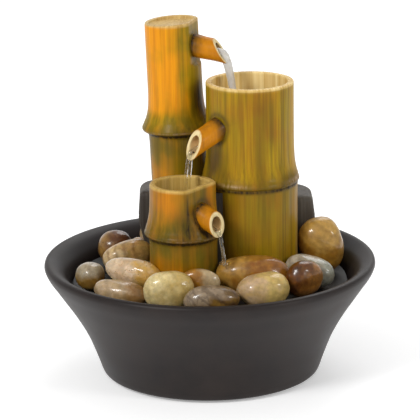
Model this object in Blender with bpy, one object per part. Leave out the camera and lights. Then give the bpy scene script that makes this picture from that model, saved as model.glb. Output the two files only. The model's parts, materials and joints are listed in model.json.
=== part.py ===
"""Tabletop water fountain: three bamboo canes that spill into each other over a flared bowl of river stones.

Metres, +Z up. The origin is the middle of the bowl's base, on the surface the fountain stands on.
-Y is the front, where the short cane stands, and +X is the right-hand side seen from there.
"""

import math

import bmesh
import bpy
from mathutils import Euler, Matrix, Vector
from mathutils.bvhtree import BVHTree

MM = 0.001
GAP = 0.35 * MM  # clearance between two pieces that meet

# Driving sizes -------------------------------------------------------------------------------
BOWL_R = 105.3 * MM  # widest point of the rim
BOWL_H = 74.4 * MM
BASE_R = 70.0 * MM
BASE_Z = 1.2 * MM  # underside of the bowl, held up by its foot pads
FLOOR_Z = 7.0 * MM
LEDGE_Z = 57.0 * MM  # step in the bowl's wall that carries the stone tray
LEDGE_R = 87.2 * MM
TRAY_T = 3.0 * MM

CANE_WALL = 3.8 * MM
WIDE_XY = Vector((26.6, 7.2)) * MM
WIDE_R = 27.8 * MM
WIDE_TOP = 187.5 * MM
WIDE_RING_Z = 125.0 * MM
TALL_XY = Vector((-17.9, 27.5)) * MM  # where its axis crosses CROWN_Z
TALL_R = 17.3 * MM
TALL_TOP = 224.4 * MM
TALL_RING_Z = 154.0 * MM
TALL_LEAN = math.radians(2.2)  # towards -X
SHORT_XY = Vector((-16.2, -28.0)) * MM
SHORT_R = 20.7 * MM
SHORT_TOP = 131.0 * MM
SHORT_RING_Z = 100.0 * MM

SPOUT_R = 7.25 * MM
SPOUT_BORE_R = 4.4 * MM
SOCKET_DEPTH = 2.2 * MM

HOUSING_FRONT_Y = 22.0 * MM
HOUSING_BACK_Y = 57.5 * MM
HOUSING_BOTTOM = 42.0 * MM
HOUSING_WAIST = 93.0 * MM  # its widest level
CROWN_Z = 112.0 * MM  # the housing's top
HOUSING_WALL = 3.0 * MM
CROWN_SLOPE = 0.045  # its top falls towards +X

PUMP_X = 20.0 * MM
PUMP_Z = 26.0 * MM  # height of the impeller's axis
PUMP_FRONT_Y = 6.0 * MM
PUMP_REAR_Y = 44.0 * MM
PUMP_HALF_W = 15.0 * MM
PUMP_BOTTOM = 12.3 * MM
PUMP_TOP = 40.0 * MM
BARB_XY = Vector((13.5, 40.0)) * MM
TUBE_R = 4.0 * MM
TUBE_BORE_R = 2.9 * MM

FINE, COARSE, TINY = 48, 28, 16  # segments round a large, a middling and a small turned piece


# Scene helpers -------------------------------------------------------------------------------
def clear_scene():
    for old in list(bpy.data.objects):
        bpy.data.objects.remove(old)


def material(name, colour, roughness, metallic=0.0):
    made = bpy.data.materials.new(name)
    made.use_nodes = True
    shader = made.node_tree.nodes["Principled BSDF"]
    shader.inputs["Base Color"].default_value = (*colour, 1.0)
    shader.inputs["Roughness"].default_value = roughness
    shader.inputs["Metallic"].default_value = metallic
    return made


def piece(name, bm, finish=None):
    """An object made of a bmesh. With no finish it is a cutter or a filler, which isn't a node."""
    bmesh.ops.recalc_face_normals(bm, faces=bm.faces)
    mesh = bpy.data.meshes.new(name)
    bm.to_mesh(mesh)
    bm.free()
    made = bpy.data.objects.new(name, mesh)
    bpy.context.scene.collection.objects.link(made)
    if finish is None:
        made.hide_render = True
        made.display_type = "WIRE"
    else:
        mesh.materials.append(finish)
        mesh.shade_smooth()
        mesh.set_sharp_from_angle(angle=math.radians(35))
    return made


def group(name, at, *members):
    """An empty on a joint's axis that carries the pieces moving there."""
    made = bpy.data.objects.new(name, None)
    made.location = at
    bpy.context.scene.collection.objects.link(made)
    for member in members:
        member.parent = made
        member.matrix_parent_inverse = Matrix.Translation(-Vector(at))
    return made


def boolean(target, other, operation="DIFFERENCE"):
    cut = target.modifiers.new(other.name, "BOOLEAN")
    cut.operation = operation
    cut.object = other
    cut.solver = "EXACT"


def frame_along(origin, direction):
    """The matrix that puts local +Z along a direction, at an origin."""
    turn = Vector((0, 0, 1)).rotation_difference(Vector(direction)).to_matrix().to_4x4()
    return Matrix.Translation(Vector(origin)) @ turn


def turned(name, profile, segments, finish=None, closed=False, place=None):
    """A turned piece: (radius, height) points spun round local Z, open at the axis or a closed ring."""
    bm = bmesh.new()
    verts = [bm.verts.new((r, 0.0, z)) for r, z in profile]
    pairs = list(zip(verts, verts[1:]))
    if closed:
        pairs.append((verts[-1], verts[0]))
    edges = [bm.edges.new(pair) for pair in pairs]
    bmesh.ops.spin(
        bm, geom=verts + edges, axis=(0, 0, 1), cent=(0, 0, 0),
        angle=math.tau, steps=segments, use_merge=True,
    )
    bmesh.ops.remove_doubles(bm, verts=bm.verts, dist=1e-6)
    if place is not None:
        bmesh.ops.transform(bm, matrix=place, verts=bm.verts)
    return piece(name, bm, finish)


def rod(name, radius, start, end, finish=None, segments=TINY, place=None):
    """A round bar on local Z from start to end."""
    return turned(name, [(0, start), (radius, start), (radius, end), (0, end)], segments, finish, place=place)


def ring(name, outer, inner, start, end, finish=None, segments=TINY, place=None):
    """A bush on local Z from start to end."""
    profile = [(inner, start), (outer, start), (outer, end), (inner, end)]
    return turned(name, profile, segments, finish, closed=True, place=place)


def box(name, low, high, finish=None, bevel=0.0):
    low, high = Vector(low), Vector(high)
    bm = bmesh.new()
    size = Matrix.Diagonal((*(high - low), 1.0))
    bmesh.ops.create_cube(bm, size=1.0, matrix=Matrix.Translation((low + high) / 2) @ size)
    if bevel:
        bmesh.ops.bevel(
            bm, geom=bm.edges[:], offset=bevel, offset_type="OFFSET",
            segments=2, profile=0.5, affect="EDGES",
        )
    return piece(name, bm, finish)


def mm_points(*points):
    return [tuple(value * MM for value in point) for point in points]


# Finishes ------------------------------------------------------------------------------------
def make_finishes():
    return {
        "bowl_resin": material("bowl_resin", (0.045, 0.038, 0.035), 0.5),
        "housing_resin": material("housing_resin", (0.05, 0.05, 0.06), 0.6),
        "bamboo": material("bamboo", (0.55, 0.30, 0.03), 0.35),
        "bamboo_olive": material("bamboo_olive", (0.33, 0.22, 0.03), 0.4),
        "river_stone": material("river_stone", (0.45, 0.33, 0.2), 0.2),
        "pump_plastic": material("pump_plastic", (0.02, 0.02, 0.022), 0.4),
        "tray_plastic": material("tray_plastic", (0.018, 0.018, 0.02), 0.55),
        "rubber": material("rubber", (0.03, 0.03, 0.03), 0.8),
        "clear_vinyl": material("clear_vinyl", (0.75, 0.8, 0.8), 0.15),
        "copper": material("copper", (0.6, 0.25, 0.1), 0.35, 1.0),
        "core_steel": material("core_steel", (0.35, 0.35, 0.36), 0.4, 1.0),
        "ferrite": material("ferrite", (0.04, 0.04, 0.045), 0.5),
        "shaft_ceramic": material("shaft_ceramic", (0.8, 0.8, 0.78), 0.25),
    }


# Bowl, its feet, its cord grommet and the stone tray -----------------------------------------
BOWL_OUTER = mm_points(
    (0, 1.2), (65.4, 1.2), (68.8, 2.3), (70.4, 5.2), (71.7, 9), (74.6, 17), (78.2, 26), (82.8, 35),
    (88.2, 44), (93.6, 52), (99, 60), (102.9, 65.6), (105.0, 69.8), (105.3, 71.8), (104.6, 73.6),
    (102.6, 74.4),
)
BOWL_INNER = mm_points(
    (99.8, 73.6), (96.2, 71.2), (92.6, 67.2), (90, 62.5), (88.2, 57), (82.6, 57), (81.2, 52.5),
    (75.4, 38), (70.5, 26), (66.8, 15), (64.8, 10), (61, 7), (0, 7),
)
FOOT_AT = 50 * MM
FOOT_R = 9 * MM
GROMMET_Z = 63 * MM
GROMMET_SEAT_Y = 97 * MM


def make_bowl(finish):
    bowl = turned("bowl", BOWL_OUTER + BOWL_INNER, FINE, finish["bowl_resin"])
    recess_top = BASE_Z + 2 * MM
    for n in range(4):
        angle = math.radians(45 + 90 * n)
        place = Matrix.Translation((FOOT_AT * math.cos(angle), FOOT_AT * math.sin(angle), 0))
        recess = rod(f"foot_recess_{n + 1}", FOOT_R + GAP, -MM, recess_top, place=place)
        boolean(bowl, recess)
        rod(f"foot_pad_{n + 1}", FOOT_R, 0, recess_top - GAP, finish["rubber"], place=place)
    back = frame_along((0, 0, GROMMET_Z), (0, 1, 0))
    boolean(bowl, rod("grommet_hole", 5.2 * MM, 80 * MM, 110 * MM, place=back))
    boolean(bowl, rod("grommet_seat", 7 * MM, GROMMET_SEAT_Y, 112 * MM, place=back))
    profile = mm_points((3.4, 89), (4.8, 89), (4.8, 97.4), (6.5, 97.4), (6.5, 99.2), (5.6, 100), (3.4, 100))
    turned("cord_grommet", profile, TINY, finish["rubber"], closed=True, place=back)
    return bowl


def make_tray(finish, tower_section):
    """A flat ring that rests on the bowl's ledge, drilled for the water and cut round the tower."""
    top = LEDGE_Z + GAP + TRAY_T
    tray = rod("stone_tray", LEDGE_R, LEDGE_Z + GAP, top, finish["tray_plastic"], segments=FINE)
    for cutter in tower_section:
        boolean(tray, cutter)
    drains = [(-68, -18), (-68, 14), (-52, -50), (-18, -69), (16, -69), (50, -50), (76, -6), (50, 62), (-50, 55)]
    for n, (x, y) in enumerate(drains):
        place = Matrix.Translation((x * MM, y * MM, LEDGE_Z))
        boolean(tray, rod(f"drain_{n + 1}", 3 * MM, -5 * MM, 10 * MM, segments=8, place=place))
    boolean(tray, box("cord_notch", (-4 * MM, 75 * MM, LEDGE_Z - 5 * MM), (4 * MM, 95 * MM, LEDGE_Z + 10 * MM)))
    return tray


# Canes ---------------------------------------------------------------------------------------
def cane_outline(radius, low_radius, ring_radius, ring_z, base_z, top_z):
    """The outside of a cane: a smooth swelling above its node, a sharp step below it."""
    return [
        (low_radius, base_z),
        (low_radius, ring_z - 6.5 * MM),
        (low_radius + 0.25 * (ring_radius - low_radius), ring_z - 3.2 * MM),
        (ring_radius - 1.1 * MM, ring_z - 1.7 * MM),
        (ring_radius, ring_z - 0.4 * MM),
        (ring_radius - 0.4 * MM, ring_z + 1.6 * MM),
        (radius + 0.52 * (ring_radius - radius), ring_z + 6 * MM),
        (radius + 0.16 * (ring_radius - radius), ring_z + 12 * MM),
        (radius + 0.02 * (ring_radius - radius), ring_z + 20 * MM),
        (radius, top_z - 0.8 * MM),
        (radius - 0.8 * MM, top_z),
    ]


def solid_from(outline):
    return [(0, outline[0][1])] + outline + [(0, outline[-1][1])]


def grown(outline, by):
    """The same outline, larger by a clearance, for cutting a neighbour."""
    lifted = [(r + by, z) for r, z in outline]
    lifted[0] = (lifted[0][0], lifted[0][1] - by)
    lifted[-1] = (lifted[-1][0], lifted[-1][1] + by)
    return lifted


WIDE_OUTLINE = cane_outline(WIDE_R, 29.8 * MM, 31 * MM, WIDE_RING_Z, FLOOR_Z + GAP, WIDE_TOP)
TALL_OUTLINE = cane_outline(TALL_R, 18.3 * MM, 22.4 * MM, TALL_RING_Z, 58 * MM, TALL_TOP)
SHORT_OUTLINE = cane_outline(SHORT_R, 21.2 * MM, 24.4 * MM, SHORT_RING_Z, FLOOR_Z + GAP, SHORT_TOP)


def upright(xy):
    return Matrix.Translation((xy.x, xy.y, 0))


def leaning(xy, lean):
    """Leans about the point where the axis crosses the housing's top."""
    pivot = Vector((xy.x, xy.y, CROWN_Z))
    spin = Matrix.Rotation(-lean, 4, "Y")
    return Matrix.Translation(pivot) @ spin @ Matrix.Translation((0, 0, -CROWN_Z))


def facet_cutter(name, place, azimuth, distance, low, top, steepness):
    """Slices a flat on a cane's side, from its top down to a sill that runs out steeply or gently."""
    far = 34 * MM
    drop = steepness * (far - distance)
    half = 40 * MM
    bm = bmesh.new()
    corners = [(distance, low), (far, low - drop), (far, top), (distance, top)]
    face = bm.faces.new([bm.verts.new((d, -half, z)) for d, z in corners])
    pushed = bmesh.ops.extrude_face_region(bm, geom=[face])["geom"]
    moved = [v for v in pushed if isinstance(v, bmesh.types.BMVert)]
    bmesh.ops.translate(bm, verts=moved, vec=(0, 2 * half, 0))
    bmesh.ops.transform(bm, matrix=place @ Matrix.Rotation(azimuth, 4, "Z"), verts=bm.verts)
    return piece(name, bm)


def cup_cutter(name, place, radius, floor_z, top_z, azimuth=0.0, flat=1.0):
    """The hollow of a cane's top. A flat on one side keeps the wall whole behind a sliced face."""
    away = Vector((math.cos(azimuth), math.sin(azimuth)))
    bm = bmesh.new()
    loops = []
    for r, z in ((radius - 2.5 * MM, floor_z), (radius, floor_z + 2.5 * MM), (radius, top_z)):
        loop = []
        for n in range(COARSE):
            angle = math.tau * n / COARSE
            p = Vector((r * math.cos(angle), r * math.sin(angle)))
            p -= away * max(0.0, p.dot(away) - flat)
            loop.append(bm.verts.new((p.x, p.y, z)))
        loops.append(loop)
    for lower, upper in zip(loops, loops[1:]):
        for a in range(COARSE):
            b = (a + 1) % COARSE
            bm.faces.new((lower[a], lower[b], upper[b], upper[a]))
    bm.faces.new(loops[0][::-1])
    bm.faces.new(loops[-1])
    bmesh.ops.transform(bm, matrix=place, verts=bm.verts)
    return piece(name, bm)


class Spout:
    """Where a spout leaves its cane: a point on its axis, and the way it points."""

    def __init__(self, name, root, azimuth, pitch, upper, lower):
        self.name = name
        self.root = Vector(root)
        self.direction = Vector((
            math.cos(pitch) * math.cos(azimuth),
            math.cos(pitch) * math.sin(azimuth),
            -math.sin(pitch),
        ))
        self.upper, self.lower = upper, lower  # lengths of its top and bottom edges
        side = Vector((-math.sin(azimuth), math.cos(azimuth), 0))
        up = side.cross(self.direction)
        if up.z < 0:
            up.negate()
        columns = Matrix((up, self.direction.cross(up), self.direction)).transposed()
        self.place = Matrix.Translation(self.root) @ columns.to_4x4()

    def make(self, finish):
        """A bamboo tube cut on the slant, its lower lip longest. Local X is up, local Z runs out."""
        start = -SOCKET_DEPTH + GAP
        spout = ring(
            self.name, SPOUT_R, SPOUT_BORE_R, start, self.lower + 6 * MM, finish,
            segments=COARSE, place=self.place,
        )
        slope = (self.lower - self.upper) / (2 * SPOUT_R)
        middle = (self.lower + self.upper) / 2
        bm = bmesh.new()
        reach = 2 * SPOUT_R
        corners = [
            (reach, middle - slope * reach), (-reach, middle + slope * reach),
            (-reach, self.lower + 40 * MM), (reach, self.lower + 40 * MM),
        ]
        face = bm.faces.new([bm.verts.new((x, -reach, z)) for x, z in corners])
        pushed = bmesh.ops.extrude_face_region(bm, geom=[face])["geom"]
        moved = [v for v in pushed if isinstance(v, bmesh.types.BMVert)]
        bmesh.ops.translate(bm, verts=moved, vec=(0, 2 * reach, 0))
        bmesh.ops.transform(bm, matrix=self.place, verts=bm.verts)
        boolean(spout, piece(self.name + "_slant", bm))
        return spout

    def cut_socket(self, cane, inward):
        """Drills the cane for the spout's bore and sinks its root into the wall."""
        bore = rod(self.name + "_bore", SPOUT_BORE_R, -inward, 8 * MM, place=self.place, segments=COARSE)
        seat = rod(
            self.name + "_seat", SPOUT_R + GAP, -SOCKET_DEPTH, 16 * MM,
            place=self.place, segments=COARSE,
        )
        boolean(cane, bore)
        boolean(cane, seat)


TALL_AZIMUTH = math.radians(-19)
SHORT_AZIMUTH = math.radians(-40)
TALL_SPOUT_AZIMUTH = math.radians(-14)
SHORT_FACING = math.radians(-38)  # the way its flat looks
WIDE_AZIMUTH = math.radians(-139)
WIDE_SPOUT_AZIMUTH = math.radians(-147)
TALL_FLAT = 14.6 * MM
SHORT_FLAT = 15.0 * MM
SPOUT_TALL_Z = 207.3 * MM


def on_side(xy, azimuth, distance, z):
    return (xy.x + distance * math.cos(azimuth), xy.y + distance * math.sin(azimuth), z)


def make_spouts():
    """The three spouts, each rooted on its cane's side."""
    tall_axis = leaning(TALL_XY, TALL_LEAN) @ Vector((0, 0, SPOUT_TALL_Z))
    tall_root = on_side(tall_axis.xy, TALL_AZIMUTH, TALL_FLAT, SPOUT_TALL_Z)
    wide_root = on_side(WIDE_XY, WIDE_AZIMUTH, 27.2 * MM, 161.0 * MM)
    short_root = on_side(SHORT_XY, SHORT_AZIMUTH, SHORT_FLAT, 113.5 * MM)
    return (
        Spout("spout_tall", tall_root, TALL_SPOUT_AZIMUTH, math.radians(10.5), 11.3 * MM, 23.8 * MM),
        Spout("spout_wide", wide_root, WIDE_SPOUT_AZIMUTH, math.radians(24), 12.5 * MM, 27.0 * MM),
        Spout("spout_short", short_root, SHORT_AZIMUTH, math.radians(21), 9.2 * MM, 17.8 * MM),
    )


def make_canes(finish, spouts):
    tall_spout, wide_spout, short_spout = spouts
    bay = box("pump_bay", (-60 * MM, 19 * MM, 0), (80 * MM, 70 * MM, 107.5 * MM))

    wide_place = upright(WIDE_XY)
    wide = turned("cane_wide", solid_from(WIDE_OUTLINE), FINE, finish["bamboo_olive"], place=wide_place)
    boolean(wide, cup_cutter("wide_cup", wide_place, WIDE_R - CANE_WALL, 149 * MM, 200 * MM))
    boolean(wide, rod("wide_hollow", 26 * MM, 0, 118 * MM, segments=COARSE, place=wide_place))
    boolean(wide, bay)
    wide_spout.cut_socket(wide, 12 * MM)

    tall_place = leaning(TALL_XY, TALL_LEAN)
    tall = turned("cane_tall", solid_from(TALL_OUTLINE), COARSE + 8, finish["bamboo"], place=tall_place)
    boolean(tall, cup_cutter("tall_dish", tall_place, TALL_R - 2.8 * MM, 220 * MM, 230 * MM,
                             TALL_AZIMUTH, TALL_FLAT - 2.4 * MM))
    slant = box("tall_slant", (-60 * MM, 0, 0), (40 * MM, 60 * MM, 40 * MM))
    slant.data.transform(Matrix.Translation((-22 * MM, 0, 222.6 * MM)) @ Matrix.Rotation(math.radians(-4.2), 4, "Y"))
    boolean(tall, slant)
    boolean(tall, rod("tall_hollow", 12 * MM, 40 * MM, 216 * MM, segments=COARSE, place=tall_place))
    boolean(tall, facet_cutter("tall_facet", tall_place, TALL_AZIMUTH, TALL_FLAT, 196 * MM, 240 * MM, 0.75))
    boolean(tall, bay)
    boolean(tall, box("tube_way", (-9 * MM, 0, 0), (10 * MM, 40 * MM, 107.5 * MM)))
    tall_spout.cut_socket(tall, 12 * MM)
    boolean(tall, rod("tube_seat", TUBE_R + 0.6 * MM, -13 * MM, -3 * MM, segments=COARSE, place=tall_spout.place))

    short_place = upright(SHORT_XY)
    short = turned("cane_short", solid_from(SHORT_OUTLINE), COARSE + 12, finish["bamboo"], place=short_place)
    boolean(short, cup_cutter("short_cup", short_place, SHORT_R - CANE_WALL, 108 * MM, 140 * MM,
                              SHORT_FACING, SHORT_FLAT - 3.4 * MM))
    boolean(short, rod("short_hollow", 17 * MM, 0, 90 * MM, segments=COARSE, place=short_place))
    boolean(short, facet_cutter("short_facet", short_place, SHORT_FACING, SHORT_FLAT, 117 * MM, 140 * MM, 2.2))
    short_spout.cut_socket(short, 12 * MM)
    return wide, tall, short


# Housing behind the canes --------------------------------------------------------------------
def rounded_section(x_low, x_high, y_low, y_high, front_r, back_r, inset=0.0):
    """Corner points of the housing's plan, rounded more at the back, counter-clockwise from above."""
    x_low, x_high, y_low, y_high = x_low + inset, x_high - inset, y_low + inset, y_high - inset
    corners = [
        (x_high, y_low, front_r, -90), (x_high, y_high, back_r, 0),
        (x_low, y_high, back_r, 90), (x_low, y_low, front_r, 180),
    ]
    points = []
    for x, y, radius, start in corners:
        radius = max(radius - inset, 0.5 * MM)
        cx = x - radius if x == x_high else x + radius
        cy = y - radius if y == y_high else y + radius
        for step in range(4):
            angle = math.radians(start + 30 * step)
            points.append((cx + radius * math.cos(angle), cy + radius * math.sin(angle)))
    return points


def housing_plan(z, inset=0.0):
    """The housing's plan at a height: it widens up to its waist and then draws in a little."""
    low, waist, crown = (-34, 54.5), (-45.6, 68.4), (-44.4, 66.6)
    if z < HOUSING_WAIST:
        share = (z - HOUSING_BOTTOM) / (HOUSING_WAIST - HOUSING_BOTTOM)
        ends = [a + (b - a) * share for a, b in zip(low, waist)]
    else:
        share = (z - HOUSING_WAIST) / (CROWN_Z - HOUSING_WAIST)
        ends = [a + (b - a) * share for a, b in zip(waist, crown)]
    return rounded_section(
        ends[0] * MM, ends[1] * MM, HOUSING_FRONT_Y, HOUSING_BACK_Y, 2.5 * MM, 15 * MM, inset
    )


def skinned(name, levels, finish=None):
    """A closed body through stacked plans, each given as (height, inset), with flat ends."""
    bm = bmesh.new()
    loops = []
    for z, inset in levels:
        shear = CROWN_SLOPE * max(0.0, (z - HOUSING_WAIST) / (CROWN_Z - HOUSING_WAIST))
        loops.append([bm.verts.new((x, y, z - shear * (x + 44 * MM))) for x, y in housing_plan(z, inset)])
    for lower, upper in zip(loops, loops[1:]):
        for i in range(len(lower)):
            j = (i + 1) % len(lower)
            bm.faces.new((lower[i], lower[j], upper[j], upper[i]))
    bm.faces.new(loops[0][::-1])
    bm.faces.new(loops[-1])
    bmesh.ops.triangulate(bm, faces=bm.faces)
    return piece(name, bm, finish)


def make_housing(finish, cane_cutters):
    outside = [
        (HOUSING_BOTTOM, 0), (70 * MM, 0), (HOUSING_WAIST, 0), (106.5 * MM, 0),
        (110.2 * MM, 0.6 * MM), (111.5 * MM, 1.8 * MM), (CROWN_Z, 3.4 * MM),
    ]
    inside = [
        (HOUSING_BOTTOM - 2 * MM, HOUSING_WALL), (HOUSING_WAIST, HOUSING_WALL), (108.5 * MM, HOUSING_WALL + 1.2 * MM)
    ]
    housing = skinned("pump_housing", outside, finish["housing_resin"])
    boolean(housing, skinned("housing_hollow", inside))
    web = box("web", (-7 * MM, -17 * MM, HOUSING_BOTTOM), (12 * MM, 24 * MM, 121 * MM))
    boolean(housing, web, "UNION")
    for name, x, lip in (("rail_left", -2.0, 3.4), ("rail_right", 42.0, 36.6)):
        outer = (min(x, x + math.copysign(3, 20 - x)), max(x, x + math.copysign(3, 20 - x)))
        wall = box(name, (outer[0] * MM, 57 * MM, 63 * MM), (outer[1] * MM, 62.6 * MM, 104 * MM))
        edge = (min(x, lip) * MM, max(x, lip) * MM)
        hook = box(name + "_lip", (edge[0], 60.6 * MM, 63 * MM), (edge[1], 62.6 * MM, 104 * MM))
        boolean(housing, wall, "UNION")
        boolean(housing, hook, "UNION")
    stop = box("cover_stop", (-1 * MM, 57 * MM, 62 * MM), (41 * MM, 61.6 * MM, 64.2 * MM))
    boolean(housing, stop, "UNION")
    boolean(housing, box("window", (7 * MM, 50 * MM, 68 * MM), (33 * MM, 59 * MM, 98 * MM)))
    for cutter in cane_cutters:
        boolean(housing, cutter)
    cover = box("rear_cover", (1.4 * MM, 57.9 * MM, 64.6 * MM), (38.6 * MM, 60.2 * MM, 103 * MM), finish["housing_resin"])
    grip = box("cover_grip", (12 * MM, 59 * MM, 98 * MM), (28 * MM, 64.4 * MM, 102.4 * MM))
    boolean(cover, grip, "UNION")
    return housing, cover


# Riser tube ----------------------------------------------------------------------------------
def catmull(points, per_span):
    """A smooth curve through the points."""
    ends = [points[0] * 2 - points[1]] + points + [points[-1] * 2 - points[-2]]
    curve = []
    for i in range(1, len(ends) - 2):
        p0, p1, p2, p3 = ends[i - 1:i + 3]
        for step in range(per_span):
            t = step / per_span
            curve.append(0.5 * (
                2 * p1 + (p2 - p0) * t + (2 * p0 - 5 * p1 + 4 * p2 - p3) * t ** 2
                + (3 * p1 - p0 - 3 * p2 + p3) * t ** 3
            ))
    curve.append(ends[-2])
    return curve


def make_riser(finish, spout):
    """Vinyl hose from the pump's barb, through the housing and up inside the tall cane to its spout."""
    axis = leaning(TALL_XY, TALL_LEAN)
    barb = Vector((BARB_XY.x, BARB_XY.y, 0))
    start = 44.0 * MM
    into = spout.root - spout.direction * 3.4 * MM
    route = [
        barb + Vector((0, 0, start)), barb + Vector((0, 0, start + 9 * MM)),
        Vector((10, 38.5, 66)) * MM, Vector((-3, 34.5, 82)) * MM, Vector((-14.5, 30, 98)) * MM,
        axis @ Vector((0, 0, 118 * MM)), axis @ Vector((0, 0, 150 * MM)), axis @ Vector((0, 0, 180 * MM)),
        axis @ Vector((0.6 * MM, 0, 194 * MM)), into - spout.direction * 6 * MM + Vector((0, 0, 0.4 * MM)), into,
    ]
    line = catmull(route, 4)
    sides = 10
    bm = bmesh.new()
    loops = {TUBE_R: [], TUBE_BORE_R: []}
    across = Vector((1, 0, 0))
    for i, point in enumerate(line):
        ahead = (line[min(i + 1, len(line) - 1)] - line[max(i - 1, 0)]).normalized()
        across = (across - ahead * across.dot(ahead)).normalized()
        other = ahead.cross(across)
        for radius, kept in loops.items():
            turn = [math.tau * k / sides for k in range(sides)]
            kept.append([bm.verts.new(point + (across * math.cos(a) + other * math.sin(a)) * radius) for a in turn])
    outer, inner = loops.values()
    for rows in (outer, inner):
        for a, b in zip(rows, rows[1:]):
            for k in range(sides):
                bm.faces.new((a[k], a[(k + 1) % sides], b[(k + 1) % sides], b[k]))
    for end in (0, -1):
        for k in range(sides):
            m = (k + 1) % sides
            bm.faces.new((outer[end][k], outer[end][m], inner[end][m], inner[end][k]))
    return piece("riser_tube", bm, finish["clear_vinyl"])


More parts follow.
